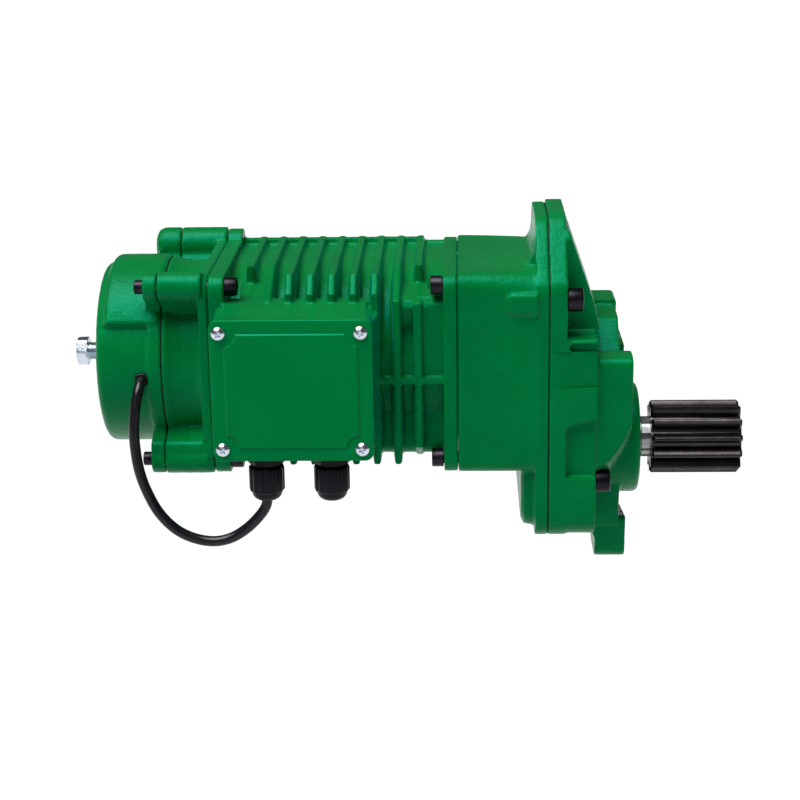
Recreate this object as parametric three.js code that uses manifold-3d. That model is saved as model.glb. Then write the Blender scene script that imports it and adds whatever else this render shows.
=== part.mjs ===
// Crane travel gearmotor: disc brake, finned motor, three-stage gearbox and output pinion.
// Millimetres. Origin: output axis in the plane of the three mounting lugs.
// +X runs along the output shaft towards its pinion, +Z is up, the terminal box is on the -Y side.
import * as THREE from 'three';
import { mergeVertices } from 'three/addons/utils/BufferGeometryUtils.js';
import Module from 'manifold-3d';

const wasm = await Module();
wasm.setup();

// ---- driving dimensions ----
const MOTOR_Z = 63.75; // motor axis, also that of the second intermediate shaft
const FIRST_Z = 105.75; // first intermediate axis
const GAP = 0.3; // between pieces that touch in the real drive
const PITCH = 58.6; // half spacing of the square of flange bolts
const SEG = 28; // facets of the large turned castings

const COVER_END = -353; // brake cover end face
const COVER_R = 61.4;
const HUMP_R = 66.5; // raised upper sector of the brake cover
const HUMP_END = -347.5;
const BIG_LUG = { y: 60, z: 124, r: 13.2, end: -327 }; // upper rear lug, with a sunk screw
const SHIELD_L = -309; // brake cover to end shield
const MOTOR_L = -276; // end shield to motor housing
const MOTOR_R = -114.7; // motor housing to gear case
const CASE_R = -55.4; // gear case to gear cover
const BLOCK_X = -24; // front face of the cover's lower block
const FLANGE_HALF = 66;
const FLANGE_LOW = -4.8;
const CORE_R = 59;
const BORE_R = 52;
const FIN_HALF = 65.5;
const FIN_THICK = 4.6;
const FIN_LOW = 2.5;
const PAD_TOP = 124.5; // flat upper rear corner of the motor housing
const FIN_PITCH = 13.9;
const FIN_COUNT = 9;
const FIN_MID = -196;
const BOX = { x0: -271, x1: -169, z0: 18, z1: 110, y: -98.2 }; // terminal box rim
const BOX_SCREWS = [[-265.3, 102.1], [-175.9, 102.1], [-175.9, 25.3], [-265.3, 25.3]];
const GLAND_Y = -86;
const GLAND_X = [-239.5, -197];
const CABLE_R = 3.5;
const PRESSURE = Math.PI / 9;
const STAGE = [
  { m: 1.5, pinion: 12, wheel: 44, shift: 0.4, x0: -60.5, x1: -51.5 },
  { m: 2, pinion: 13, wheel: 29, shift: 0.35, x0: -49.5, x1: -41.3 },
  { m: 2.5, pinion: 16, wheel: 35, shift: 0.2, x0: -39.3, x1: -26.5 },
];
const OUT = { m: 3.5, teeth: 12, shift: 0.17, x0: 17, x1: 78.3 };

// ---- solids ----
const solid = (geometry) => {
  const bare = geometry.clone();
  bare.deleteAttribute('normal');
  bare.deleteAttribute('uv');
  const merged = mergeVertices(bare, 1e-4);
  const index = merged.index.array;
  const triangles = [];
  for (let i = 0; i < index.length; i += 3) {
    const [a, b, c] = [index[i], index[i + 1], index[i + 2]];
    if (a !== b && b !== c && c !== a) triangles.push(a, b, c);
  }
  const build = (order) => new wasm.Manifold(new wasm.Mesh({
    numProp: 3,
    vertProperties: new Float32Array(merged.attributes.position.array),
    triVerts: new Uint32Array(order),
  }));
  const body = build(triangles);
  return body.volume() > 0 ? body : build(triangles.reverse());
};
const all = (bodies) => bodies.reduce((sum, body) => sum.add(body));
const cut = (body, tools) => tools.reduce((rest, tool) => rest.subtract(tool), body);
const box = (x0, x1, y0, y1, z0, z1) => solid(new THREE.BoxGeometry(x1 - x0, y1 - y0, z1 - z0)
  .translate((x0 + x1) / 2, (y0 + y1) / 2, (z0 + z1) / 2));

const outlineShape = (points) => new THREE.Shape(points.map(([a, b]) => new THREE.Vector2(a, b)));
// prism along an axis; outline points are (y, z) for x, (x, z) for y and (x, y) for z
const prism = (axis, points, lo, hi, holes = []) => {
  const shape = outlineShape(points);
  shape.holes = holes.map(outlineShape);
  const geometry = new THREE.ExtrudeGeometry(shape, { depth: hi - lo, bevelEnabled: false });
  const place = {
    x: new THREE.Matrix4().set(0, 0, 1, lo, 1, 0, 0, 0, 0, 1, 0, 0, 0, 0, 0, 1),
    y: new THREE.Matrix4().set(1, 0, 0, 0, 0, 0, -1, hi, 0, 1, 0, 0, 0, 0, 0, 1),
    z: new THREE.Matrix4().set(1, 0, 0, 0, 0, 1, 0, 0, 0, 0, 1, lo, 0, 0, 0, 1),
  };
  return solid(geometry.applyMatrix4(place[axis]));
};
// turned body; profile points are (position along the axis, radius); (a, b) is where the axis lies
const turned = (axis, profile, a = 0, b = 0, n = 24) => {
  const points = profile.map(([s, r]) => new THREE.Vector2(r, s));
  const geometry = new THREE.LatheGeometry(points, n);
  const place = {
    x: new THREE.Matrix4().set(0, 1, 0, 0, 0, 0, 1, a, 1, 0, 0, b, 0, 0, 0, 1),
    y: new THREE.Matrix4().set(1, 0, 0, a, 0, 1, 0, 0, 0, 0, 1, b, 0, 0, 0, 1),
    z: new THREE.Matrix4().set(0, 0, 1, a, 1, 0, 0, b, 0, 1, 0, 0, 0, 0, 0, 1),
  };
  return solid(geometry.applyMatrix4(place[axis]));
};
const rod = (axis, lo, hi, r, a = 0, b = 0, n = 24) => turned(
  axis, [[lo, 0], [lo, r], [hi, r], [hi, 0]], a, b, n);
const ring = (axis, lo, hi, inner, outer, a = 0, b = 0, n = 24) => turned(
  axis, [[lo, inner], [lo, outer], [hi, outer], [hi, inner], [lo, inner]], a, b, n);

// outlines
const arc = (a, b, r, from, to, n) => Array.from({ length: n + 1 }, (_, i) => {
  const t = from + (to - from) * i / n;
  return [a + r * Math.cos(t), b + r * Math.sin(t)];
});
const circle = (a, b, r, n, turn = 0) => arc(a, b, r, turn, turn + 2 * Math.PI * (n - 1) / n, n - 1);
const rounded = (corners, n = 3) => corners.flatMap(([px, py, r], i) => {
  const before = corners[(i + corners.length - 1) % corners.length];
  const after = corners[(i + 1) % corners.length];
  if (!r) return [[px, py]];
  const u = new THREE.Vector2(before[0] - px, before[1] - py).normalize();
  const v = new THREE.Vector2(after[0] - px, after[1] - py).normalize();
  const half = Math.acos(u.dot(v)) / 2;
  const mid = u.clone().add(v).normalize().multiplyScalar(r / Math.sin(half));
  const from = Math.atan2(u.y * r / Math.tan(half) - mid.y, u.x * r / Math.tan(half) - mid.x);
  const to = Math.atan2(v.y * r / Math.tan(half) - mid.y, v.x * r / Math.tan(half) - mid.x);
  const sweep = Math.atan2(Math.sin(to - from), Math.cos(to - from));
  return arc(px + mid.x, py + mid.y, r, from, from + sweep, n);
});
const square = (half, r, b = MOTOR_Z, n = 3) => rounded(
  [[-half, b - half, r], [half, b - half, r], [half, b + half, r], [-half, b + half, r]], n);
// square flange of the motor, a little deeper below the axis than above it
const plate = (r, half = FLANGE_HALF, low = FLANGE_LOW, b = MOTOR_Z) => rounded(
  [[-half, low, r], [half, low, r], [half, b + half, r], [-half, b + half, r]]);
const corners = [[-1, 1], [1, 1], [1, -1], [-1, -1]];
const bolts = corners.map(([sy, sz]) => [sy * PITCH, MOTOR_Z + sz * PITCH]);

// involute gear outline with a tooth centred at angle `turn`
const gear = ({ m, z, x = 0, turn = 0, steps = 2, thin = 0.16, add = 0.9, ded = 1.25 }) => {
  const inv = (a) => Math.tan(a) - a;
  const r = m * z / 2;
  const base = r * Math.cos(PRESSURE);
  const tip = r + m * (add + x);
  const root = r - m * (ded - x);
  const half = (Math.PI / 2 + 2 * x * Math.tan(PRESSURE)) / z + inv(PRESSURE) - thin / (2 * r);
  const start = Math.max(base, root);
  const involute = Array.from({ length: steps + 1 }, (_, i) => {
    const radius = start + (tip - start) * i / steps;
    return [radius, half - inv(Math.acos(base / radius))];
  });
  const flank = steps === 1 ? [[root, half], involute[1]] : involute;
  if (steps > 1 && root < base) flank.unshift([root, half]);
  return Array.from({ length: z }, (_, k) => {
    const mid = turn + 2 * Math.PI * k / z;
    const rise = flank.map(([radius, h]) => [radius, mid - h]);
    const fall = flank.map(([radius, h]) => [radius, mid + h]).reverse();
    return [...rise, ...fall].map(([radius, t]) => [radius * Math.cos(t), radius * Math.sin(t)]);
  }).flat();
};
const shifted = (points, a, b) => points.map(([p, q]) => [p + a, q + b]);

// ---- fasteners ----
const socketScrew = (seat, dir, y, z, d, length) => {
  const [head, high] = [0.77 * d, 0.98 * d];
  const at = (s) => seat + GAP * dir + s * dir;
  const body = turned('x', [[at(-length), 0], [at(-length), d / 2], [at(0), d / 2],
    [at(0), head], [at(high - 0.5), head], [at(high), head - 0.5], [at(high), 0]], y, z, 10);
  const key = prism('x', circle(y, z, 0.46 * d, 6), ...[at(high * 0.5), at(high + 1)].sort((a, b) => a - b));
  return body.subtract(key);
};
const screwHole = (from, to, y, z, d) => rod('x', from, to, (d / 2 + GAP) / Math.cos(Math.PI / 8), y, z, 8);
const bearing = (x0, x1, inner, outer, z) => ring('x', x0, x1, inner, outer, 0, z, 20);

// ---- brake cover ----
const wall = 5;
const coverProfile = (grow, left, right) => [
  [left, 0], [left, COVER_R - 5 + grow], [left + 1.6, COVER_R - 1.6 + grow],
  [left + 5, COVER_R + grow], [right, COVER_R + grow], [right, 0]];
const humpSector = [[-90, MOTOR_Z + 53.2], [-61.8, MOTOR_Z + 36.5], [-30, MOTOR_Z + 17],
  [30, MOTOR_Z + 17], [61.8, MOTOR_Z + 36.5], [90, MOTOR_Z + 53.2], [90, 170], [-90, 170]];
const hump = turned('x', coverProfile(HUMP_R - COVER_R, HUMP_END, SHIELD_L), 0, MOTOR_Z, SEG)
  .intersect(prism('x', humpSector, COVER_END, SHIELD_L));
const CABLE_EXIT = [-322.3, -58, 60.5];
const coverSeat = -318;
const coverLugs = bolts.map(([y, z]) => prism('x', circle(y, z, 9.5, 10), coverSeat, SHIELD_L));
const coverTies = corners.map(([sy, sz]) => prism('x', [
  [0, MOTOR_Z], [sy * (PITCH + 7.4), MOTOR_Z + sz * (PITCH - 5)],
  [sy * (PITCH - 5), MOTOR_Z + sz * (PITCH + 7.4)]], coverSeat, SHIELD_L));
const bigCoverLug = turned('x', [[BIG_LUG.end, 0], [BIG_LUG.end, 8], [BIG_LUG.end + 2, 11.5],
  [BIG_LUG.end + 6, BIG_LUG.r], [SHIELD_L, BIG_LUG.r], [SHIELD_L, 0]], BIG_LUG.y, BIG_LUG.z, 20);
const bigWeb = (x0, x1) => prism('x', [[20, 95], [46.8, 112], [46.8, 124], [73.2, 124], [73.2, 112], [55, 90]],
  x0, x1);
const lowCorner = (x0, x1) => prism('x', rounded([[-66.5, -4.3, 7], [-66.5, 18, 5], [-44, 26, 0], [-30, 10, 0],
  [-44, -4.3, 0]]), x0, x1);
const coverInner = turned('x', [[COVER_END + wall, 0], [COVER_END + wall, 48],
  [COVER_END + 12, COVER_R - wall], [SHIELD_L + 1, COVER_R - wall], [SHIELD_L + 1, 0]], 0, MOTOR_Z, SEG);
const brakeCover = cut(
  all([turned('x', coverProfile(0, COVER_END, SHIELD_L), 0, MOTOR_Z, SEG), hump, bigCoverLug,
    bigWeb(BIG_LUG.end + 3, SHIELD_L), lowCorner(coverSeat, SHIELD_L),
    rod('x', coverSeat, SHIELD_L, 65.3, 0, MOTOR_Z, SEG), ...coverLugs, ...coverTies]),
  [coverInner,
    rod('x', COVER_END - 1, COVER_END + wall + 1, 6 + GAP, 0, MOTOR_Z, 16),
    rod('y', -80, -50, 5, CABLE_EXIT[0], CABLE_EXIT[2], 16),
    rod('x', BIG_LUG.end - 1, coverSeat, 5.8, ...bolts[1], 12),
    ...bolts.map(([y, z]) => screwHole(coverSeat - 1, SHIELD_L + 1, y, z, 6))]);

// ---- rear end shield ----
const shieldL = SHIELD_L + GAP;
const shieldR = MOTOR_L - GAP;
const shieldLug = ([y, z], right) => prism('x', circle(y, z, 9.8, 10), shieldL, right)
  .add(prism('x', [[0, MOTOR_Z], [y * 1.12, z - Math.sign(z - MOTOR_Z) * 5],
    [y - Math.sign(y) * 5, MOTOR_Z + (z - MOTOR_Z) * 1.12]], shieldL, right));
const rearShield = cut(
  all([rod('x', shieldL, shieldR, 62, 0, MOTOR_Z, SEG),
    rod('x', shieldL, shieldL + 8, 65.3, 0, MOTOR_Z, SEG),
    prism('x', square(FLANGE_HALF, 14), -283, shieldR),
    ...bolts.map((b) => shieldLug(b, -280)),
    rod('x', shieldL, shieldR, BIG_LUG.r, BIG_LUG.y, BIG_LUG.z, 20),
    bigWeb(shieldL, shieldR), lowCorner(shieldL, shieldR),
    ring('x', -320.5, shieldL, 22, 47, 0, MOTOR_Z, 32),
    ring('x', shieldR, shieldR + 3.5, 46, BORE_R - GAP, 0, MOTOR_Z, SEG)]),
  [rod('x', -293, shieldR + 4, 46, 0, MOTOR_Z, 32),
    rod('x', shieldL - 1, -292, 11, 0, MOTOR_Z, 24),
    rod('x', shieldL - 12, -302, 22, 0, MOTOR_Z, 24),
    ...bolts.map(([y, z]) => screwHole(shieldL - 1, -299, y, z, 6)),
    ...bolts.map(([y, z]) => screwHole(-288, shieldR + 1, y, z, 8))])
  .add(ring('x', -293.5, -281, 20 + GAP, 26, 0, MOTOR_Z, 24));

// ---- motor housing ----
const finX = Array.from({ length: FIN_COUNT }, (_, i) => FIN_MID + (i - (FIN_COUNT - 1) / 2) * FIN_PITCH);
const finHigh = MOTOR_Z + FIN_HALF;
const finFront = [
  [[-45, FIN_LOW], [-FIN_HALF, 14], [-FIN_HALF, 112], [-30, 117.5], [-30, finHigh]],
  [[-FIN_HALF, FIN_LOW], [-FIN_HALF, 113.6], [-23.3, finHigh]],
  [[-FIN_HALF, FIN_LOW], [-FIN_HALF, finHigh]],
];
const fins = finX.map((x, i) => {
  const kind = Math.min(i, FIN_COUNT - 1 - i, finFront.length - 1);
  const outline = [...finFront[kind], [FIN_HALF, finHigh], [FIN_HALF, FIN_LOW]];
  return prism('x', outline, x - FIN_THICK / 2, x + FIN_THICK / 2);
});
const screwPads = [[-257, -240], [-151, -134]].map(([x0, x1]) => prism('x',
  [[-20, 100], [-20, 118.3], [-59, 112.5], [-61.5, 108], [-57, 97], [-50, 88]], x0, x1));
const rearCorner = (x0, x1, top) => prism('x', [[-14, 100], [45, 92], [FIN_HALF, 92], [FIN_HALF, top],
  [59.5, top], [58.5, PAD_TOP], [20, PAD_TOP], [-8, 122.2], [-14, 118]], x0, x1);
const boxBody = all([
  prism('y', rounded([[BOX.x0, BOX.z0, 5], [BOX.x1, BOX.z0, 5], [BOX.x1, BOX.z1, 5], [BOX.x0, BOX.z1, 5]]),
    BOX.y, -50),
  prism('x', [[BOX.y + 2, BOX.z1 - 1], [-55, 113.8], [-55, 100], [BOX.y + 2, 100]], BOX.x0 + 4, BOX.x1 - 4),
  prism('z', [[BOX.x1 - 8, BOX.y + 2], [BOX.x1 - 0.5, BOX.y + 2], [BOX.x1 + 4.5, -55], [BOX.x1 - 8, -55]],
    BOX.z0 + 4, BOX.z1 - 4)]);
const boxInside = cut(box(BOX.x0 + 5, BOX.x1 - 5, BOX.y - 1, -68, BOX.z0 + 5, BOX.z1 - 5),
  BOX_SCREWS.map(([x, z]) => rod('y', -100, -60, 6.5, x, z, 12)));
const housingR = MOTOR_R - GAP;
const rearSeat = -265.4;
const frontSeat = -124.1;
const motorHousing = cut(
  all([rod('x', MOTOR_L, housingR, CORE_R, 0, MOTOR_Z, SEG), ...fins, ...screwPads,
    prism('x', plate(10), MOTOR_L, rearSeat),
    rod('x', MOTOR_L, rearSeat, BIG_LUG.r - 1.2, BIG_LUG.y, BIG_LUG.z, 20),
    prism('x', plate(10), frontSeat, housingR),
    rearCorner(rearSeat - 0.5, -140, finHigh - 0.6), rearCorner(-141, -120, finHigh - 3),
    prism('x', rounded([[-52, 4.3, 8], [52, 4.3, 8], [52, 60, 0], [-52, 60, 0]]), rearSeat, frontSeat),
    prism('x', [[-40, 60], [-60, 60], [-60.5, 110], [-55, 114.5], [-40, 116]], -141, frontSeat),
    box(-168, frontSeat, -FIN_HALF, FIN_HALF, 57.5, 61.2),
    boxBody]),
  [rod('x', MOTOR_L - 1, MOTOR_R + 1, BORE_R, 0, MOTOR_Z, SEG), boxInside,
    rod('y', -70, -45, 12, -220, MOTOR_Z, 16),
    ...GLAND_X.map((x) => rod('z', BOX.z0 - 1, BOX.z0 + 6, 8 + GAP, x, GLAND_Y, 16)),
    ...BOX_SCREWS.map(([x, z]) => rod('y', BOX.y - 1, -82, 2.5 + GAP, x, z, 10)),
    ...bolts.map(([y, z]) => screwHole(MOTOR_L - 1, rearSeat + 1, y, z, 8)),
    ...bolts.map(([y, z]) => screwHole(frontSeat - 1, MOTOR_R + 1, y, z, 8))]);

// ---- stator and rotor ----
const slots = 18;
const slotLine = Array.from({ length: slots }, (_, k) => {
  const t = 2 * Math.PI * k / slots;
  return [[31.5, -0.07], [43, -0.1], [43, 0.1], [31.5, 0.07]]
    .map(([r, a]) => [r * Math.cos(t + a), MOTOR_Z + r * Math.sin(t + a)]);
}).flat();
const statorCore = prism('x', circle(0, MOTOR_Z, BORE_R - GAP, SEG), -246, -150, [slotLine]);
const winding = (x0, x1) => turned('x', [[x0, 36], [x0, 45], [(x0 + x1) / 2, 48], [x1, 44], [x1, 36],
  [x0, 36]], 0, MOTOR_Z, 20);
const rotorCore = cut(all([rod('x', -245.7, -150.3, 31, 0, MOTOR_Z, 32),
  rod('x', -253, -143, 27, 0, MOTOR_Z, 24)]), [rod('x', -254, -142, 12, 0, MOTOR_Z, 20)]);
const tooth = STAGE.map((s, i) => ({
  pinion: gear({ m: s.m, z: s.pinion, x: s.shift, steps: 2, turn: (i === 0 ? 1 : -1) * Math.PI / 2 }),
  wheel: gear({
    m: s.m, z: s.wheel, x: -s.shift, steps: 1, turn: (i === 0 ? -1 : 1) * Math.PI / 2 + Math.PI / s.wheel,
  }),
}));
const rotorShaft = all([
  turned('x', [[-326, 0], [-326, 8], [-310, 8], [-310, 8.4], [-280.5, 8.4], [-280.5, 11.7],
    [-118, 11.7], [-118, 9.7], [-98, 9.7], [-98, 7], [STAGE[0].x0, 7], [STAGE[0].x0, 0]], 0, MOTOR_Z, 20),
  prism('x', shifted(tooth[0].pinion, 0, MOTOR_Z), STAGE[0].x0 - 1, STAGE[0].x1)])
  .subtract(rod('x', -58.5, -51, 4.5, 0, MOTOR_Z, 16));

// ---- brake ----
const magnetL = COVER_END + wall + GAP;
const brakeMagnet = cut(ring('x', magnetL, -337, 10, 47, 0, MOTOR_Z, 28),
  [ring('x', -343, -336, 26, 38, 0, MOTOR_Z, 28), rod('x', -343.5, -336, 18, 0, MOTOR_Z, 16)]);
const brakeCoil = ring('x', -342.7, -337.3, 26 + GAP, 38 - GAP, 0, MOTOR_Z, 28);
const springCurve = new (class extends THREE.Curve {
  getPoint(t) {
    const a = 2 * Math.PI * 2.5 * t;
    return new THREE.Vector3(-342.4 + 4.6 * t, 13.5 * Math.cos(a), MOTOR_Z + 13.5 * Math.sin(a));
  }
})();
const brakeSpring = solid(new THREE.ExtrudeGeometry(outlineShape(circle(0, 0, 0.75, 6)),
  { steps: 30, bevelEnabled: false, extrudePath: springCurve }));
const brakeArmature = cut(rod('x', -336.4, -329.4, 46, 0, MOTOR_Z, 32),
  [rod('x', -337, -329, 6 + GAP, 0, MOTOR_Z, 16)]);
const brakeDisc = ring('x', -329.1, -320.9, 16 + GAP, 45, 0, MOTOR_Z, 32);
const brakeHub = turned('x', [[-328.6, 8 + GAP], [-328.6, 16], [-321.4, 16], [-321.4, 12], [-310.5, 12],
  [-310.5, 8 + GAP], [-328.6, 8 + GAP]], 0, MOTOR_Z, 24);
const releaseShank = [[-366.5, 0], [-366.5, 6], [-330.8, 6], [-329.8, 5], [-329.8, 0]];
const releaseBolt = turned('x', releaseShank, 0, MOTOR_Z, 16)
  .add(turned('x', [[-375.8, 0], [-375.8, 8.6], [-374.6, 10.2], [-369.4, 10.4], [-368.4, 9], [-368.4, 0]],
    0, MOTOR_Z, 6)).add(rod('x', -369, -366, 6, 0, MOTOR_Z, 16));
const releaseWasher = ring('x', COVER_END - 5.3, COVER_END - GAP, 6 + GAP, 9.5, 0, MOTOR_Z, 20);

// ---- gear case ----
const flangeLine = (top) => rounded([[-66, -52, 16], [66, -52, 16], [66, 122, 12], [30, top, 20],
  [-30, top, 20], [-66, 122, 12]]);
const caseLine = flangeLine(160.8);
const coverLine = flangeLine(162.5);
const CASE_SCREW_D = 10;
const CASE_SCREWS = [[-58.6, 112, -43.7, 28], [58.6, 112, -43.7, 28], [-52, -14, BLOCK_X, 37],
  [52, -14, BLOCK_X, 37]]; // y, z, seat, length
const caseBody = all([
  prism('x', plate(9, 66.9, -4.6), MOTOR_R, -60),
  prism('x', caseLine, -64, CASE_R),
  prism('x', rounded([[-58, -47, 16], [58, -47, 16], [58, 10, 0], [-58, 10, 0]]), -73, -63),
  ring('x', MOTOR_R - 3.5, MOTOR_R + 1, 46, BORE_R - GAP, 0, MOTOR_Z, SEG),
  ...[-1, 1].map((s) => prism('x', rounded([[s * 62, 104, 0], [s * 69.4, 104, 3], [s * 69.4, 118, 3],
    [s * 62, 118, 0]]), -84, -63))]);
const caseInside = all([
  prism('x', square(60, 8), -106, -76),
  box(-76.5, -61.5, -58, 58, 29, 85),
  prism('x', rounded([[-56, 29, 8], [56, 29, 8], [56, 108, 10], [26, 142, 14], [-26, 142, 14], [-56, 108, 10]]),
    -61.8, CASE_R + 1)]);
const hubL = -107;
const gearCase = cut(caseBody.subtract(caseInside).add(rod('x', hubL, -97, 28, 0, MOTOR_Z, 24)), [
  rod('x', MOTOR_R - 5, -99.2, 23.5 + GAP, 0, MOTOR_Z, 24),
  rod('x', -100, -90, 16, 0, MOTOR_Z, 24),
  rod('x', -70.2, -60, 11 + GAP, 0, FIRST_Z, 20),
  rod('x', -70.2, CASE_R + 1, 23.5 + GAP, 0, 0, 24),
  ...bolts.map(([y, z]) => screwHole(MOTOR_R - 1, -99, y, z, 8)),
  ...CASE_SCREWS.map(([y, z]) => screwHole(z > 0 ? -73 : -62, CASE_R + 1, y, z, CASE_SCREW_D))]);

// ---- gear cover ----
const coverL = CASE_R + GAP;
const BLOCK_TOP = 90.5;
const LEDGE = 87;
const BACK = BLOCK_X - 1; // where the lugs and bosses grow out of the block
const frontLug = [[-58.6, 26, 0], [-58.6, 72, 6], [-36, 72, 6], [-14, 56, 0], [-14, 24, 0], [-34, 6, 0],
  [-50, 14, 0]];
const lowWeb = [[-57, -6], [-58.6, 30], [-30, 30], [-30, -16], [-46, -14]];
const midWeb = [[-26, 40, 0], [-26, 62, 6], [-2, 86.5, 6], [32, 86.5, 0], [32, 40, 0]];
const backLug = [[58.6, 30, 0], [58.6, 62, 0], [14, 62, 0], [14, 24, 0], [36, 8, 0]];
const backTop = [[BACK, 55], [0, 55], [-4.5, 73], [-4.5, BLOCK_TOP - 2], [-6.5, BLOCK_TOP], [BACK, BLOCK_TOP]];
const footWeb = [[-24, -56], [24, -56], [30, -20], [-30, -20]];
const footPad = rounded([[-21, -82, 8], [21, -82, 8], [24, -58, 3], [-24, -50, 3]]);
const footFillet = [[-46, -48], [-44, -53], [-34, -54.5], [-28, -57], [-23.5, -62], [BACK + 4.5, -68],
  [BACK + 4.5, -48]];
const coverBody = all([
  prism('x', coverLine, coverL, -43.7),
  prism('x', rounded([[-66, -51, 16], [66, -51, 16], [66, LEDGE, 3], [-66, LEDGE, 3]]), -45, BLOCK_X),
  prism('y', [[-45, 153], [-41.5, 153], [-24.5, 104], [-21, 88], [-45, 88]], -42, 42)
    .intersect(prism('x', coverLine, -46, BLOCK_X + 5)),
  turned('x', [[BACK, 0], [BACK, 38], [5.3, 38], [7.5, 37], [8.3, 35], [8.3, 0]], 0, 0, SEG),
  prism('x', rounded(frontLug), BACK, 0),
  prism('x', lowWeb, BACK, -9),
  prism('x', rounded(backLug), BACK, 0),
  prism('y', backTop, 30, 58.6),
  prism('x', rounded(midWeb), BACK, -6),
  prism('x', footWeb, BACK, -5),
  prism('x', footPad, BACK + 4, 0),
  prism('y', footFillet, -22, 22)]);
const coverInside = all([
  prism('x', rounded([[-55, 29, 8], [55, 29, 8], [55, 106, 10], [26, 140, 14], [-26, 140, 14], [-55, 106, 10]]),
    coverL - 1, -48.5),
  rod('x', coverL - 1, -50.5, 37, 0, FIRST_Z, 32),
  rod('x', coverL - 1, -40.6, 33, 0, MOTOR_Z, 28),
  rod('x', -45, -25.3, 23.5, 0, MOTOR_Z, 24),
  rod('x', coverL - 1, -40.6, 17, 0, FIRST_Z, 20),
  rod('x', coverL - 1, -26.2, 47.6, 0, 0, 36)]);
const sideRecess = [[-53, -67], [-53, -65.8], [-26, -62.5], [-23, -62.5], [-23, -67]];
const lowPocket = [[-46, -8], [-46, 22], [-43, 27], [-38, 29.5], [-23, 33], [-23, -8]];
const slot = [[-41, 78.5], [-42.5, 81.5], [-41, 84.5], [-19, 84.5], [-19, 78.5]];
const lugHoles = [[-46, 52], [46, 46], [0, -66]];
const gearCover = cut(coverBody, [coverInside,
  rod('x', -41, -32.7, 8 + GAP, 0, FIRST_Z, 20),
  rod('x', -27, -12.7, 16 + GAP, 0, MOTOR_Z, 20),
  rod('x', -27, -5.7, 26 + GAP, 0, 0, 24),
  rod('x', -8, 12, 20 + GAP, 0, 0, 24),
  ...CASE_SCREWS.map(([y, z, seat]) => screwHole(-56, seat + 1, y, z, CASE_SCREW_D)),
  ...CASE_SCREWS.map(([y, z, seat]) => rod('x', seat, seat + 26, 9, y, z, 16)),
  ...lugHoles.map(([y, z]) => rod('x', -23, 1, 5.5, y, z, 16)),
  prism('z', sideRecess, 54, 79),
  prism('y', lowPocket, -67, -61),
  prism('y', slot, -67, -61.5)]);

// ---- gear train ----
const firstShaft = all([
  turned('x', [[-69.6, 0], [-69.6, 3.9], [-62, 3.9], [-62, 7], [-50, 7], [-50, 0]], 0, FIRST_Z, 16),
  prism('x', shifted(tooth[1].pinion, 0, FIRST_Z), STAGE[1].x0 - 1.2, STAGE[1].x1 + 0.1),
  rod('x', -42, -33.4, 3.9, 0, FIRST_Z, 16)]);
const wheel = (i, z, bore) => cut(prism('x', shifted(tooth[i].wheel, 0, z), STAGE[i].x0, STAGE[i].x1),
  [rod('x', STAGE[i].x0 - 1, STAGE[i].x1 + 1, bore + GAP, 0, z, 20)]);
const secondShaft = all([
  turned('x', [[-57.8, 0], [-57.8, 4.2], [-50.6, 4.2], [-50.6, 9], [-39.5, 9], [-39.5, 0]], 0, MOTOR_Z, 20),
  prism('x', shifted(tooth[2].pinion, 0, MOTOR_Z), STAGE[2].x0 - 0.6, STAGE[2].x1),
  rod('x', STAGE[2].x1 - 1, -14, 7.4, 0, MOTOR_Z, 20)]);
const spline = (tip, root, grow) => Array.from({ length: 10 }, (_, k) => {
  const t = 2 * Math.PI * k / 10;
  return [[root, -0.17], [tip, -0.15], [tip, 0.15], [root, 0.17]]
    .map(([r, a]) => [r * Math.cos(t + a * (1 + grow)), r * Math.sin(t + a * (1 + grow))]);
}).flat();
const outputShaft = all([
  turned('x', [[-68.6, 0], [-68.6, 11.8], [-68, 12.4], [-56, 12.4], [-56, 17], [STAGE[2].x0 - 0.5, 17],
    [STAGE[2].x0 - 0.5, 14.4], [11, 14.4], [11, 0]], 0, 0, 24),
  prism('x', spline(14, 12.4, 0), 10, 71)])
  .subtract(turned('x', [[50, 0], [50, 3.3], [72, 3.3], [72, 0]], 0, 0, 12));
const outputTeeth = gear({ m: OUT.m, z: OUT.teeth, x: OUT.shift, steps: 4, thin: 0.2, add: 1, turn: 0.29 });
const outputPinion = prism('x', outputTeeth, OUT.x0, OUT.x1)
  .intersect(turned('x', [[OUT.x0, 0], [OUT.x0, 23.1], [OUT.x0 + 2, 25.2], [OUT.x1 - 2, 25.2], [OUT.x1, 23.1],
    [OUT.x1, 0]], 0, 0, 36))
  .subtract(prism('x', spline(14.3, 12.7, 0.12), OUT.x0 - 1, 72))
  .subtract(rod('x', 71.5, OUT.x1 + 1, 17, 0, 0, 24));
const pinionRetainer = all([rod('x', 71.8, 75, 16.4, 0, 0, 24), rod('x', 52, 72, 3, 0, 0, 12),
  turned('x', [[74, 0], [74, 5.8], [77.4, 5.8], [77.4, 0]], 0, 0, 6)]);
const oilSeal = turned('x', [[-1.2, 14.4 + GAP], [-1.2, 20], [6.5, 20], [6.5, 17], [3, 14.4 + GAP],
  [-1.2, 14.4 + GAP]], 0, 0, 28);

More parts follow.
